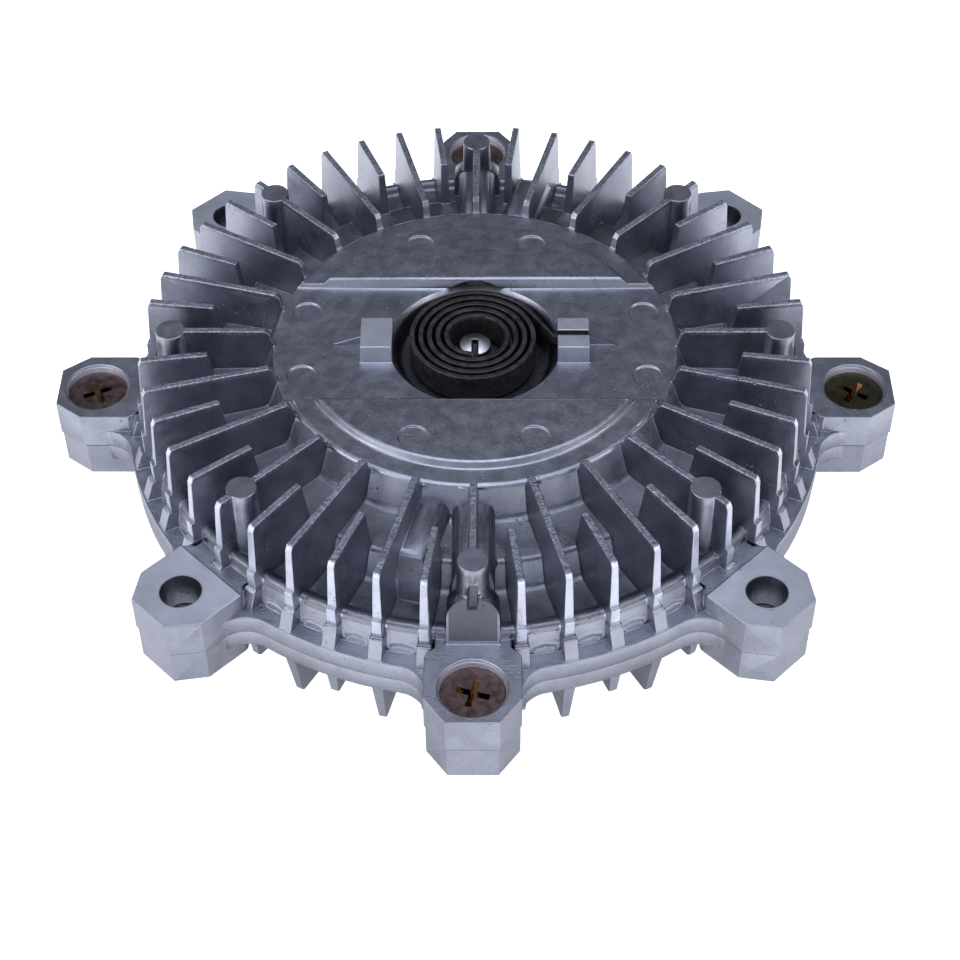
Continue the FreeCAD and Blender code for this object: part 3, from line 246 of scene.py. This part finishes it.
def cast_grain_group():
    """Grain, mottling and pits of a die casting: a colour, a roughness and a height."""
    net, given, out = new_group(
        "Cast grain",
        [("Colour", "Color", (0.5, 0.5, 0.5, 1)), ("Grain", "Float", 0.0004), ("Pits", "Float", 0.5)],
        [("Colour", "Color"), ("Roughness", "Float"), ("Height", "Float")])
    place = net.add("ShaderNodeTexCoord").outputs["Object"]
    scale = net.math("DIVIDE", 1.0, given.outputs["Grain"])
    fine = net.add("ShaderNodeTexNoise", {"Vector": place, "Scale": scale, "Detail": 3.0, "Roughness": 0.6})
    flow = net.noise(place, 14 * MM, 3.0, 0.6, 0.6)
    cloud = net.noise(place, 3.2 * MM, 4.0, 0.62)
    cells = net.add("ShaderNodeTexVoronoi", {"Vector": place, "Scale": 1 / (1.3 * MM), "Randomness": 1.0})
    sparse = net.ramp(net.noise(place, 5 * MM, 2.0), 0.50, 0.66)
    pit = net.ramp(cells.outputs["Distance"], 0.10, 0.22, 1.0, 0.0)
    pit = net.math("MULTIPLY", net.math("MULTIPLY", pit, sparse), given.outputs["Pits"])
    tone = net.ramp(flow, 0.3, 0.7, 0.90, 1.08)
    tone = net.math("MULTIPLY", tone, net.ramp(cloud, 0.3, 0.72, 0.94, 1.06))
    tone = net.math("MULTIPLY", tone, net.ramp(fine.outputs["Fac"], 0.3, 0.7, 0.93, 1.07))
    tone = net.math("MULTIPLY", tone, net.math("SUBTRACT", 1.0, net.math("MULTIPLY", pit, 0.55)))
    net.put(out.inputs["Colour"], net.tinted(given.outputs["Colour"], tone))
    rough = net.math("ADD", net.ramp(cloud, 0.3, 0.7, 0.29, 0.37),
                     net.math("MULTIPLY", fine.outputs["Fac"], 0.10))
    net.put(out.inputs["Roughness"], rough)
    height = net.math("ADD", net.math("MULTIPLY", fine.outputs["Fac"], 0.35),
                      net.math("MULTIPLY", cloud, 0.5))
    net.put(out.inputs["Height"], net.math("SUBTRACT", height, net.math("MULTIPLY", pit, 1.6)))
    return net.tree


def machined_group():
    """Fine scratches and a few open pores of a milled face."""
    net, given, out = new_group(
        "Machined face", [("Colour", "Color", (0.6, 0.6, 0.6, 1))],
        [("Colour", "Color"), ("Roughness", "Float"), ("Height", "Float")])
    place = net.add("ShaderNodeTexCoord").outputs["Object"]
    turned = net.add("ShaderNodeMapping", {"Vector": place, "Rotation": (0, 0, 0.6), "Scale": (1, 22, 1)})
    lines = net.noise(turned, 2.2 * MM, 2.0, 0.6, 0.3)
    cells = net.add("ShaderNodeTexVoronoi", {"Vector": place, "Scale": 1 / (1.9 * MM), "Randomness": 1.0})
    sparse = net.ramp(net.noise(place, 4 * MM, 2.0), 0.52, 0.62)
    pore = net.math("MULTIPLY", net.ramp(cells.outputs["Distance"], 0.07, 0.13, 1.0, 0.0), sparse)
    cloud = net.ramp(net.noise(place, 6 * MM, 3.0), 0.3, 0.7, 0.93, 1.05)
    tone = net.math("MULTIPLY", net.ramp(lines, 0.3, 0.7, 0.93, 1.06), cloud)
    tone = net.math("MULTIPLY", tone, net.math("SUBTRACT", 1.0, net.math("MULTIPLY", pore, 0.6)))
    net.put(out.inputs["Colour"], net.tinted(given.outputs["Colour"], tone))
    net.put(out.inputs["Roughness"], net.ramp(lines, 0.3, 0.7, 0.40, 0.52))
    height = net.math("SUBTRACT", net.math("MULTIPLY", lines, 0.12), net.math("MULTIPLY", pore, 1.2))
    net.put(out.inputs["Height"], height)
    return net.tree


def turned_group():
    """Rings left by a lathe about the axis, with faint stains."""
    net, given, out = new_group(
        "Turned rings", [("Colour", "Color", (0.5, 0.5, 0.5, 1)), ("Ring", "Float", 0.3 * MM)],
        [("Colour", "Color"), ("Roughness", "Float"), ("Height", "Float")])
    place = net.add("ShaderNodeTexCoord").outputs["Object"]
    parts = net.add("ShaderNodeSeparateXYZ", {0: place})
    radius = net.length(parts.outputs["X"], parts.outputs["Y"])
    across = net.add("ShaderNodeCombineXYZ", {0: radius, 1: parts.outputs["Z"]}).outputs[0]
    scale = net.math("DIVIDE", 1.0, given.outputs["Ring"])
    rings = net.add("ShaderNodeTexNoise", {"Vector": across, "Scale": scale, "Detail": 2.0}).outputs["Fac"]
    stain = net.noise(place, 5 * MM, 4.0, 0.6)
    tone = net.math("MULTIPLY", net.ramp(rings, 0.3, 0.7, 0.88, 1.1), net.ramp(stain, 0.3, 0.7, 0.85, 1.08))
    net.put(out.inputs["Colour"], net.tinted(given.outputs["Colour"], tone))
    net.put(out.inputs["Roughness"], net.ramp(stain, 0.3, 0.7, 0.26, 0.40))
    net.put(out.inputs["Height"], rings)
    return net.tree


def mottled_group():
    """Uneven coating: clouds of tone, small specks and a slow roughness."""
    net, given, out = new_group(
        "Mottled coating", [("Colour", "Color", (0.2, 0.2, 0.2, 1)), ("Cloud", "Float", 2 * MM)],
        [("Colour", "Color"), ("Roughness", "Float"), ("Height", "Float")])
    place = net.add("ShaderNodeTexCoord").outputs["Object"]
    scale = net.math("DIVIDE", 1.0, given.outputs["Cloud"])
    cloud = net.add("ShaderNodeTexNoise", {
        "Vector": place, "Scale": scale, "Detail": 4.0, "Roughness": 0.62})
    speck = net.noise(place, 0.25 * MM, 1.0)
    tone = net.math("MULTIPLY", net.ramp(cloud.outputs["Fac"], 0.3, 0.7, 0.72, 1.25),
                    net.ramp(speck, 0.3, 0.7, 0.88, 1.12))
    net.put(out.inputs["Colour"], net.tinted(given.outputs["Colour"], tone))
    net.put(out.inputs["Roughness"], net.ramp(cloud.outputs["Fac"], 0.3, 0.7, 0.34, 0.54))
    height = net.math("ADD", net.math("MULTIPLY", cloud.outputs["Fac"], 0.6),
                      net.math("MULTIPLY", speck, 0.4))
    net.put(out.inputs["Height"], height)
    return net.tree


GROUPS = {}


def group_node(net, maker, inputs):
    if maker.__name__ not in GROUPS:
        GROUPS[maker.__name__] = maker()
    node = net.add("ShaderNodeGroup")
    node.node_tree = GROUPS[maker.__name__]
    for key, value in inputs.items():
        net.put(node.inputs[key], value)
    return node


def metal_material(name, metallic=1.0):
    material = bpy.data.materials.new(name)
    material.use_nodes = True
    material.node_tree.nodes.clear()
    net = Net(material.node_tree)
    shader = net.add("ShaderNodeBsdfPrincipled")
    shader.inputs["Metallic"].default_value = metallic
    net.put(net.add("ShaderNodeOutputMaterial").inputs["Surface"], shader)
    return material, net, shader


def bump(net, shader, height, distance):
    node = net.add("ShaderNodeBump", {"Height": height, "Distance": distance, "Strength": 1.0})
    net.put(shader.inputs["Normal"], node.outputs["Normal"])


def dress(node, material):
    """Gives a CAD node's faces the material, in place of the plain one it came with."""
    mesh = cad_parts[node].data
    for index in range(len(mesh.materials)):
        mesh.materials[index] = material


class Spot:
    """Where a shaded point lies on the part, in the terms that the masks are written in."""

    def __init__(self, net):
        self.net = net
        self.place = net.add("ShaderNodeTexCoord").outputs["Object"]
        parts = net.add("ShaderNodeSeparateXYZ", {0: self.place})
        self.x, self.y, self.z = parts.outputs["X"], parts.outputs["Y"], parts.outputs["Z"]
        self.across = net.math("ABSOLUTE", self.x)
        wide = net.math("ABSOLUTE", self.y)
        self.beside = net.math("MINIMUM", self.across, wide)
        self.farthest = net.math("MAXIMUM", self.across, wide)
        self.away = net.length(self.x, self.y)
        self.angle = net.math("ARCTAN2", self.y, self.x)

    def from_spoke(self, count):
        """Distance along the circle from the nearest of the evenly spaced spokes."""
        return self.net.math("MULTIPLY", self.away, self.net.math("PINGPONG", self.angle, math.pi / count))

    def from_ring(self, radius):
        """Distance from the nearest of the eight ears' or posts' axes on a circle."""
        return self.net.length(self.net.math("SUBTRACT", self.away, radius), self.from_spoke(EAR_COUNT))


def ear_mouths(net, spot):
    """Distance from the nearest cover screw's axis, by folding the four of them onto one."""
    return net.length(net.math("SUBTRACT", spot.farthest, EAR_CIRCLE), spot.beside)


def pocket_painted_shade(net, spot):
    """Tone of the coil's pocket, darkened by painted shade in the recess round the coil, and 1 elsewhere.
    """
    inside = net.ramp(spot.away, POCKET_R - 0.3 * MM, POCKET_R + 1.2 * MM, 1.0, 0.0)
    below = net.ramp(spot.z, CHANNEL_FLOOR - 1.6 * MM, CHANNEL_FLOOR + 0.1 * MM, 1.0, 0.0)
    return net.math("SUBTRACT", 1.0, net.product(inside, below, POCKET_SHADE))


def pad_painted_shade(net, spot):
    """Tone of the leaning pads behind the screw ears, darkened by painted shade, and 1 elsewhere."""
    inside = net.product(
        net.under(spot.beside, PAD_HALF - 0.5 * MM), net.over(spot.farthest, PAD_FACE_R),
        net.under(spot.farthest, PAD_FOOT_R), net.over(spot.z, EAR_TOP + 0.6 * MM))
    return net.math("SUBTRACT", 1.0, net.math("MULTIPLY", inside, PAD_SHADE))


def valley_painted_shade(net, spot, facing):
    """Tone of the floor and outer wall between the fins and of the plain ears' holes, darkened by painted
    shade, and 1 elsewhere.
    """
    wall = net.product(
        net.ramp(spot.away, WALL_INNER_R, WALL_INNER_R + 1 * MM), net.under(spot.away, WALL_OUTER_R),
        net.under(net.math("ABSOLUTE", facing["Z"]), 0.6), net.over(spot.beside, PAD_HALF + PAD_CLEAR),
        net.over(spot.from_spoke(FIN_COUNT), FIN_HALF), net.over(spot.z, EAR_TOP + 0.6 * MM))
    floor = net.product(
        net.ramp(facing["Z"], 0.3, 0.7, 0.0, FLOOR_SHADE),
        net.ramp(spot.z, VALLEY_TOP - 3 * MM, VALLEY_TOP, 1.0, 0.0),
        net.ramp(spot.away, WALL_INNER_R + 1 * MM, WALL_OUTER_R, 1.0, 0.0))
    hole = net.ramp(spot.from_ring(EAR_CIRCLE), HOLE_R, HOLE_R + 0.3 * MM, HOLE_SHADE, 0.0)
    valley_shade = net.math("MAXIMUM", floor, net.math("MULTIPLY", wall, WALL_SHADE))
    return net.math("SUBTRACT", 1.0, net.math("MAXIMUM", valley_shade, hole))


def fin_painted_light(net, spot, facing):
    """Tone of the fins' outer ends and sides, lightened by a painted highlight on the ends and painted
    light on the sides, and 1 elsewhere.
    """
    outward = net.math("ADD", net.math("MULTIPLY", facing["X"], spot.x),
                       net.math("MULTIPLY", facing["Y"], spot.y))
    outward = net.math("DIVIDE", outward, spot.away)
    side = net.product(
        net.under(net.math("ABSOLUTE", outward), 0.3), net.under(net.math("ABSOLUTE", facing["Z"]), 0.4),
        net.ramp(spot.away, 48 * MM, 52 * MM), FIN_SIDE_LIGHT)
    ends = net.product(
        net.ramp(outward, 0.75, 0.9), net.ramp(spot.away, 57 * MM, 60 * MM),
        net.over(spot.z, EAR_TOP + 1.2 * MM),
        net.over(spot.beside, PAD_HALF + PAD_CLEAR), net.under(spot.from_spoke(FIN_COUNT), FIN_HALF),
        net.over(spot.from_ring(POST_CIRCLE), POST_R + 0.6 * MM), FIN_END_HIGHLIGHT)
    return net.math("ADD", 1.0, net.math("ADD", ends, side))


def fin_tops(net, spot):
    """Mask of the fins' rough upper edges."""
    return net.product(
        net.over(spot.away, DISC_R), net.over(spot.from_ring(POST_CIRCLE), POST_R),
        net.ramp(spot.z, FIN_TOP - 1.0 * MM, FIN_TOP - 0.2 * MM))


def holder_tops(net, spot):
    """Mask of the flat tops of the two coil holders."""
    return net.product(
        net.over(spot.z, HOLDER_TOP - 0.08 * MM), net.under(spot.z, HOLDER_TOP + 0.08 * MM),
        net.over(spot.across, POCKET_R - 1 * MM), net.under(spot.away, POCKET_R + 9 * MM))


def cast_material(name, pits, milled, cover=False):
    """Bare die casting; milled is the height of its machined faces, and the cover has its own painted shade
    and light.
    """
    settings = finish_settings()
    material, net, shader = metal_material(name)
    cast = group_node(net, cast_grain_group, {
        "Colour": rgba(settings.cast_colour), "Grain": settings.grain_size, "Pits": pits})
    plain = group_node(net, machined_group, {"Colour": rgba(settings.machined_colour)})
    spot = Spot(net)
    normal = net.add("ShaderNodeNewGeometry").outputs["Normal"]
    facing = net.add("ShaderNodeSeparateXYZ", {0: normal}).outputs
    mouth = net.ramp(ear_mouths(net, spot), MOUTH_R, MOUTH_R + 0.15 * MM, 1.0, 0.0)
    band = net.product(
        net.over(spot.z, milled - MILLED_BAND), net.under(spot.z, milled + MILLED_BAND),
        net.over(spot.beside, 20 * MM), net.over(net.math("ABSOLUTE", facing["Z"]), 0.9))
    mask = net.math("MAXIMUM", band, mouth)
    if cover:
        mask = net.math("MAXIMUM", mask, holder_tops(net, spot))
    colour = net.mix(mask, cast.outputs["Colour"], plain.outputs["Colour"])
    colour = net.mix(mouth, colour, rgba(settings.mouth_colour))
    # Thin dark line along the seam between cover and case: painted shade in the groove where the two
    # castings meet.
    apart = net.math("ABSOLUTE", net.math("SUBTRACT", spot.z, SEAM))
    colour = net.tinted(colour, net.ramp(apart, 0.13 * MM, 0.3 * MM, 0.15, 1.0))
    tops = 0.0
    if cover:
        # Painted shade in the coil's pocket, on the pads, between the fins and in the plain ears' holes,
        # and painted light on the fins' ends and sides.
        painted_light_and_shade = net.product(
            pocket_painted_shade(net, spot), pad_painted_shade(net, spot),
            valley_painted_shade(net, spot, facing), fin_painted_light(net, spot, facing))
        colour = net.tinted(colour, painted_light_and_shade)
        tops = fin_tops(net, spot)
        worn = net.noise(spot.place, 0.7 * MM, 3.0, 0.65)
        colour = net.tinted(colour, net.blend(tops, 1.0, net.ramp(worn, 0.35, 0.6, 0.75, 1.35)))
    net.put(shader.inputs["Base Color"], colour)
    rough = net.blend(mask, cast.outputs["Roughness"], plain.outputs["Roughness"])
    net.put(shader.inputs["Roughness"], rough)
    relief = net.ramp(spot.z, 56 * MM, 58.4 * MM, 2.2, 0.8)
    relief = net.math("ADD", relief, net.math("MULTIPLY", tops, 4.0))
    coarse = net.math("MULTIPLY", cast.outputs["Height"], relief)
    bump(net, shader, net.blend(mask, coarse, plain.outputs["Height"]), 0.07 * MM)
    return material


def turned_material(name, colour, ring=0.3 * MM, anisotropy=0.5):
    """Lathe-turned metal with glints that run out from the axis."""
    material, net, shader = metal_material(name)
    rings = group_node(net, turned_group, {"Colour": rgba(colour), "Ring": ring})
    net.put(shader.inputs["Base Color"], rings.outputs["Colour"])
    net.put(shader.inputs["Roughness"], rings.outputs["Roughness"])
    shader.inputs["Anisotropic"].default_value = anisotropy
    net.put(shader.inputs["Tangent"], net.add("ShaderNodeTangent", direction_type="RADIAL", axis="Z"))
    bump(net, shader, rings.outputs["Height"], 0.01 * MM)
    return material


def coated_material(name, colour, cloud, metallic=1.0, relief=0.02 * MM):
    """Sheet, strip or moulding with an uneven coating."""
    material, net, shader = metal_material(name, metallic)
    coat = group_node(net, mottled_group, {"Colour": rgba(colour), "Cloud": cloud})
    net.put(shader.inputs["Base Color"], coat.outputs["Colour"])
    net.put(shader.inputs["Roughness"], coat.outputs["Roughness"])
    bump(net, shader, coat.outputs["Height"], relief)
    return material


def screw_material():
    """Brown phosphate that has turned golden and green inside the cross recess."""
    settings = finish_settings()
    material, net, shader = metal_material("Cover screw")
    coat = group_node(net, mottled_group, {"Colour": rgba(settings.screw_colour), "Cloud": 1.6 * MM})
    spot = Spot(net)
    inner = net.ramp(ear_mouths(net, spot), RECESS_R, RECESS_R + 0.4 * MM, 1.0, 0.0)
    below = net.ramp(spot.z, SCREW_TOP - 0.25 * MM, SCREW_TOP - 0.02 * MM, 1.0, 0.0)
    sunk = net.math("MULTIPLY", inner, below)
    hue = net.ramp(net.noise(spot.place, 1.1 * MM, 2.0, 0.5, 0.8), 0.42, 0.60)
    tint = net.mix(hue, rgba(settings.temper_colour), (0.16, 0.17, 0.06, 1))
    right_side = net.ramp(spot.x, 20 * MM, 70 * MM)
    olive = net.tinted(rgba(settings.olive_colour), net.ramp(coat.outputs["Height"], 0.3, 0.7, 0.8, 1.2))
    head = net.mix(right_side, coat.outputs["Colour"], olive)
    net.put(shader.inputs["Base Color"], net.mix(sunk, head, tint))
    net.put(shader.inputs["Roughness"], net.blend(sunk, coat.outputs["Roughness"], 0.1))
    bump(net, shader, coat.outputs["Height"], 0.02 * MM)
    return material


def round_edges(node, width, offset="OFFSET", merge=0.0):
    """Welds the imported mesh, merges nearly level faces if asked, and rounds its sharp edges."""
    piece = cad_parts[node]
    weld = piece.modifiers.new("Weld", "WELD")
    weld.merge_threshold = WELD
    if merge > 0:
        merged = piece.modifiers.new("Whole faces", "DECIMATE")
        merged.decimate_type = "DISSOLVE"
        merged.angle_limit = math.radians(merge)
    bevel = piece.modifiers.new("Edges", "BEVEL")
    bevel.width = width
    bevel.offset_type = offset
    bevel.segments = 2
    bevel.limit_method = "ANGLE"
    bevel.angle_limit = math.radians(SHARP_DEGREES)
    bevel.use_clamp_overlap = False
    bevel.loop_slide = False
    bevel.harden_normals = True


class CLUTCH_OT_castings(bpy.types.Operator):
    """Finish the front cover and the rear case"""
    bl_idname = "clutch.castings"
    bl_label = "Castings"

    def execute(self, context):
        radius = finish_settings().edge_radius
        dress("front_cover", cast_material("Cast cover", 0.5, EAR_TOP, cover=True))
        dress("rear_case", cast_material("Cast case", 0.35, SEAM))
        if radius > 0:
            round_edges("front_cover", radius)
            round_edges("rear_case", radius, "WIDTH")
        return {"FINISHED"}


class CLUTCH_OT_screws(bpy.types.Operator):
    """Finish the four countersunk cover screws"""
    bl_idname = "clutch.screws"
    bl_label = "Cover screws"

    def execute(self, context):
        material = screw_material()
        for number in range(1, 5):
            dress("cover_screw_%d" % number, material)
        return {"FINISHED"}


class CLUTCH_OT_thermostat(bpy.types.Operator):
    """Finish the bimetal spiral, the valve shaft and what it carries"""
    bl_idname = "clutch.thermostat"
    bl_label = "Spiral and valve"

    def execute(self, context):
        settings = finish_settings()
        dress("bimetal_coil", coated_material("Bimetal strip", settings.bimetal_colour, 1.5 * MM, 0.85))
        round_edges("bimetal_coil", COIL_EDGE, merge=0.4)
        dress("valve_shaft", turned_material("Zinc-plated shaft", settings.zinc_colour, 0.2 * MM, 0.6))
        round_edges("valve_shaft", SHAFT_EDGE)
        spring = coated_material("Spring steel", (0.20, 0.21, 0.24), 1.5 * MM)
        for node in ("valve_arm", "valve_shaft_clip", "bearing_retaining_ring"):
            dress(node, spring)
        dress("partition_plate", coated_material("Steel sheet", settings.steel_colour, 4 * MM))
        dress("partition_rivets", coated_material("Rivet heads", settings.machined_colour, 1 * MM))
        return {"FINISHED"}


class CLUTCH_OT_drive(bpy.types.Operator):
    """Finish the drive shaft, the rotor and the bearing"""
    bl_idname = "clutch.drive"
    bl_label = "Shaft, rotor and bearing"

    def execute(self, context):
        settings = finish_settings()
        steel = turned_material("Turned steel", settings.steel_colour)
        for node in ("drive_shaft", "rotor_spacer", "rotor_washer", "rotor_nut"):
            dress(node, steel)
        dress("rotor_disc", turned_material("Turned aluminium", settings.machined_colour))
        ground = turned_material("Ground steel", (0.62, 0.62, 0.63), 0.12 * MM, 0.3)
        for node in ("bearing_inner_ring", "bearing_outer_ring"):
            dress(node, ground)
        polished = coated_material("Polished balls", (0.66, 0.66, 0.67), 3 * MM, relief=0.001 * MM)
        dress("bearing_balls", polished)
        dress("bearing_cage", coated_material("Pressed cage", (0.46, 0.45, 0.43), 2 * MM))
        return {"FINISHED"}


class CLUTCH_OT_seals(bpy.types.Operator):
    """Finish the rubber seals and rings"""
    bl_idname = "clutch.seals"
    bl_label = "Seals"

    def execute(self, context):
        rubber = coated_material("Nitrile rubber", (0.022, 0.022, 0.024), 2 * MM, 0.0)
        for node in ("bearing_seal_rear", "bearing_seal_front", "cover_seal_ring", "valve_shaft_o_ring"):
            dress(node, rubber)
        return {"FINISHED"}


class CLUTCH_OT_stage(bpy.types.Operator):
    """Set up the camera, the white floor and the lights"""
    bl_idname = "clutch.stage"
    bl_label = "Stage"

    def execute(self, context):
        settings = stage_settings()
        make_camera(settings)
        make_floor(settings)
        make_world(settings)
        make_lamps(settings)
        return {"FINISHED"}


def make_camera(settings):
    data = bpy.data.cameras.new("Camera")
    data.lens = settings.lens
    data.sensor_width = SENSOR_WIDTH
    data.clip_start = 0.01
    data.clip_end = 20.0
    camera = bpy.data.objects.new("Camera", data)
    bpy.context.scene.collection.objects.link(camera)
    yaw, pitch, roll = (math.radians(v) for v in CAMERA_TURN)
    turn = Matrix.Rotation(yaw, 4, "Z") @ Matrix.Rotation(math.pi / 2 - pitch, 4, "X")
    turn = turn @ Matrix.Rotation(roll, 4, "Z")
    camera.matrix_world = Matrix.Translation(CAMERA_PLACE) @ turn
    bpy.context.scene.camera = camera


def make_floor(settings):
    """A white floor that the metal mirrors darker under the part, where its shadow lies."""
    mesh = bpy.data.meshes.new("Floor")
    corners = [(x * FLOOR_HALF, y * FLOOR_HALF, 0) for x, y in ((-1, -1), (1, -1), (1, 1), (-1, 1))]
    mesh.from_pydata(corners, [], [(0, 1, 2, 3)])
    floor = bpy.data.objects.new("Floor", mesh)
    bpy.context.scene.collection.objects.link(floor)
    material = bpy.data.materials.new("White floor")
    material.use_nodes = True
    material.node_tree.nodes.clear()
    net = Net(material.node_tree)
    diffuse = net.add("ShaderNodeBsdfDiffuse", {"Color": (0.8, 0.8, 0.8, 1)})
    glow = net.add("ShaderNodeEmission", {"Color": (1, 1, 1, 1)})
    path = net.add("ShaderNodeLightPath")
    place = net.add("ShaderNodeSeparateXYZ", {0: net.add("ShaderNodeTexCoord").outputs["Object"]})
    away = net.length(place.outputs["X"], place.outputs["Y"])
    mirrored = net.math("MULTIPLY", path.outputs["Is Glossy Ray"],
                        net.ramp(away, 0.07, 0.2, 0.15, settings.floor_mirrored))
    seen = net.math("MAXIMUM", path.outputs["Is Camera Ray"], path.outputs["Is Transmission Ray"])
    shown = net.math("MULTIPLY", seen, settings.floor_level)
    net.put(glow.inputs["Strength"], net.math("MAXIMUM", shown, mirrored))
    both = net.add("ShaderNodeAddShader", {0: diffuse, 1: glow})
    net.put(net.add("ShaderNodeOutputMaterial").inputs["Surface"], both)
    mesh.materials.append(material)


def make_world(settings):
    """A dim room with a bright ceiling; the camera sees it as white as the floor."""
    world = bpy.data.worlds.new("Studio")
    bpy.context.scene.world = world
    world.use_nodes = True
    world.node_tree.nodes.clear()
    net = Net(world.node_tree)
    along = net.add("ShaderNodeSeparateXYZ", {0: net.add("ShaderNodeTexCoord").outputs["Generated"]})
    level = net.ramp(along.outputs["Z"], 0.84, 0.98, settings.sky_low, settings.sky_high)
    front = net.ramp(along.outputs["Y"], -0.25, -0.75, 0.0, settings.sky_front)
    front = net.math("MULTIPLY", front, net.ramp(along.outputs["Z"], 0.1, 0.6, 1.0, 0.25))
    left = net.ramp(along.outputs["X"], -0.2, -0.9, 0.0, settings.sky_left)
    level = net.math("ADD", level, net.math("ADD", front, left))
    shown = net.add("ShaderNodeLightPath").outputs["Is Camera Ray"]
    tint = net.mix(shown, (0.86, 0.92, 1.10, 1), (1, 1, 1, 1))
    back = net.add("ShaderNodeBackground", {"Color": tint, "Strength": net.blend(shown, level, 1.0)})
    net.put(net.add("ShaderNodeOutputWorld").inputs["Surface"], back)


def soft_lamp(name, place, width, height, power):
    data = bpy.data.lights.new(name, "AREA")
    data.shape = "RECTANGLE"
    data.size = width
    data.size_y = height
    data.energy = power
    data.color = LAMP_COLOUR
    lamp = bpy.data.objects.new(name, data)
    bpy.context.scene.collection.objects.link(lamp)
    lamp.location = place
    lamp.rotation_mode = "QUATERNION"
    lamp.rotation_quaternion = (LAMP_AIM - Vector(place)).to_track_quat("-Z", "Y")


def make_lamps(settings):
    soft_lamp("Left lamp", (-0.8, -0.35, 0.75), 0.6, 0.4, settings.side_power * 1.5)
    soft_lamp("Right lamp", (0.8, -0.25, 0.75), 0.5, 0.4, settings.side_power)


class CLUTCH_PT_panel(bpy.types.Panel):
    """Lists the clutch's steps and their settings"""
    bl_label = "Fan clutch"
    bl_idname = "CLUTCH_PT_panel"
    bl_space_type = "VIEW_3D"
    bl_region_type = "UI"
    bl_category = "Fan clutch"

    def draw(self, context):
        for group in (context.scene.clutch_finish, context.scene.clutch_stage):
            box = self.layout.box()
            for name in group.__annotations__:
                box.prop(group, name)
        for step in STEPS:
            self.layout.operator(step.bl_idname)


STEPS = [CLUTCH_OT_castings, CLUTCH_OT_screws, CLUTCH_OT_thermostat, CLUTCH_OT_drive,
         CLUTCH_OT_seals, CLUTCH_OT_stage]
CLASSES = [ClutchFinish, ClutchStage] + STEPS + [CLUTCH_PT_panel]


def register():
    for item in CLASSES:
        bpy.utils.register_class(item)
    bpy.types.Scene.clutch_finish = PointerProperty(type=ClutchFinish)
    bpy.types.Scene.clutch_stage = PointerProperty(type=ClutchStage)


def unregister():
    del bpy.types.Scene.clutch_stage
    del bpy.types.Scene.clutch_finish
    for item in reversed(CLASSES):
        bpy.utils.unregister_class(item)


def main():
    register()
    bpy.context.scene.view_settings.view_transform = "Standard"
    bpy.ops.clutch.castings()
    bpy.ops.clutch.screws()
    bpy.ops.clutch.thermostat()
    bpy.ops.clutch.drive()
    bpy.ops.clutch.seals()
    bpy.ops.clutch.stage()


if __name__ == "__main__":
    main()
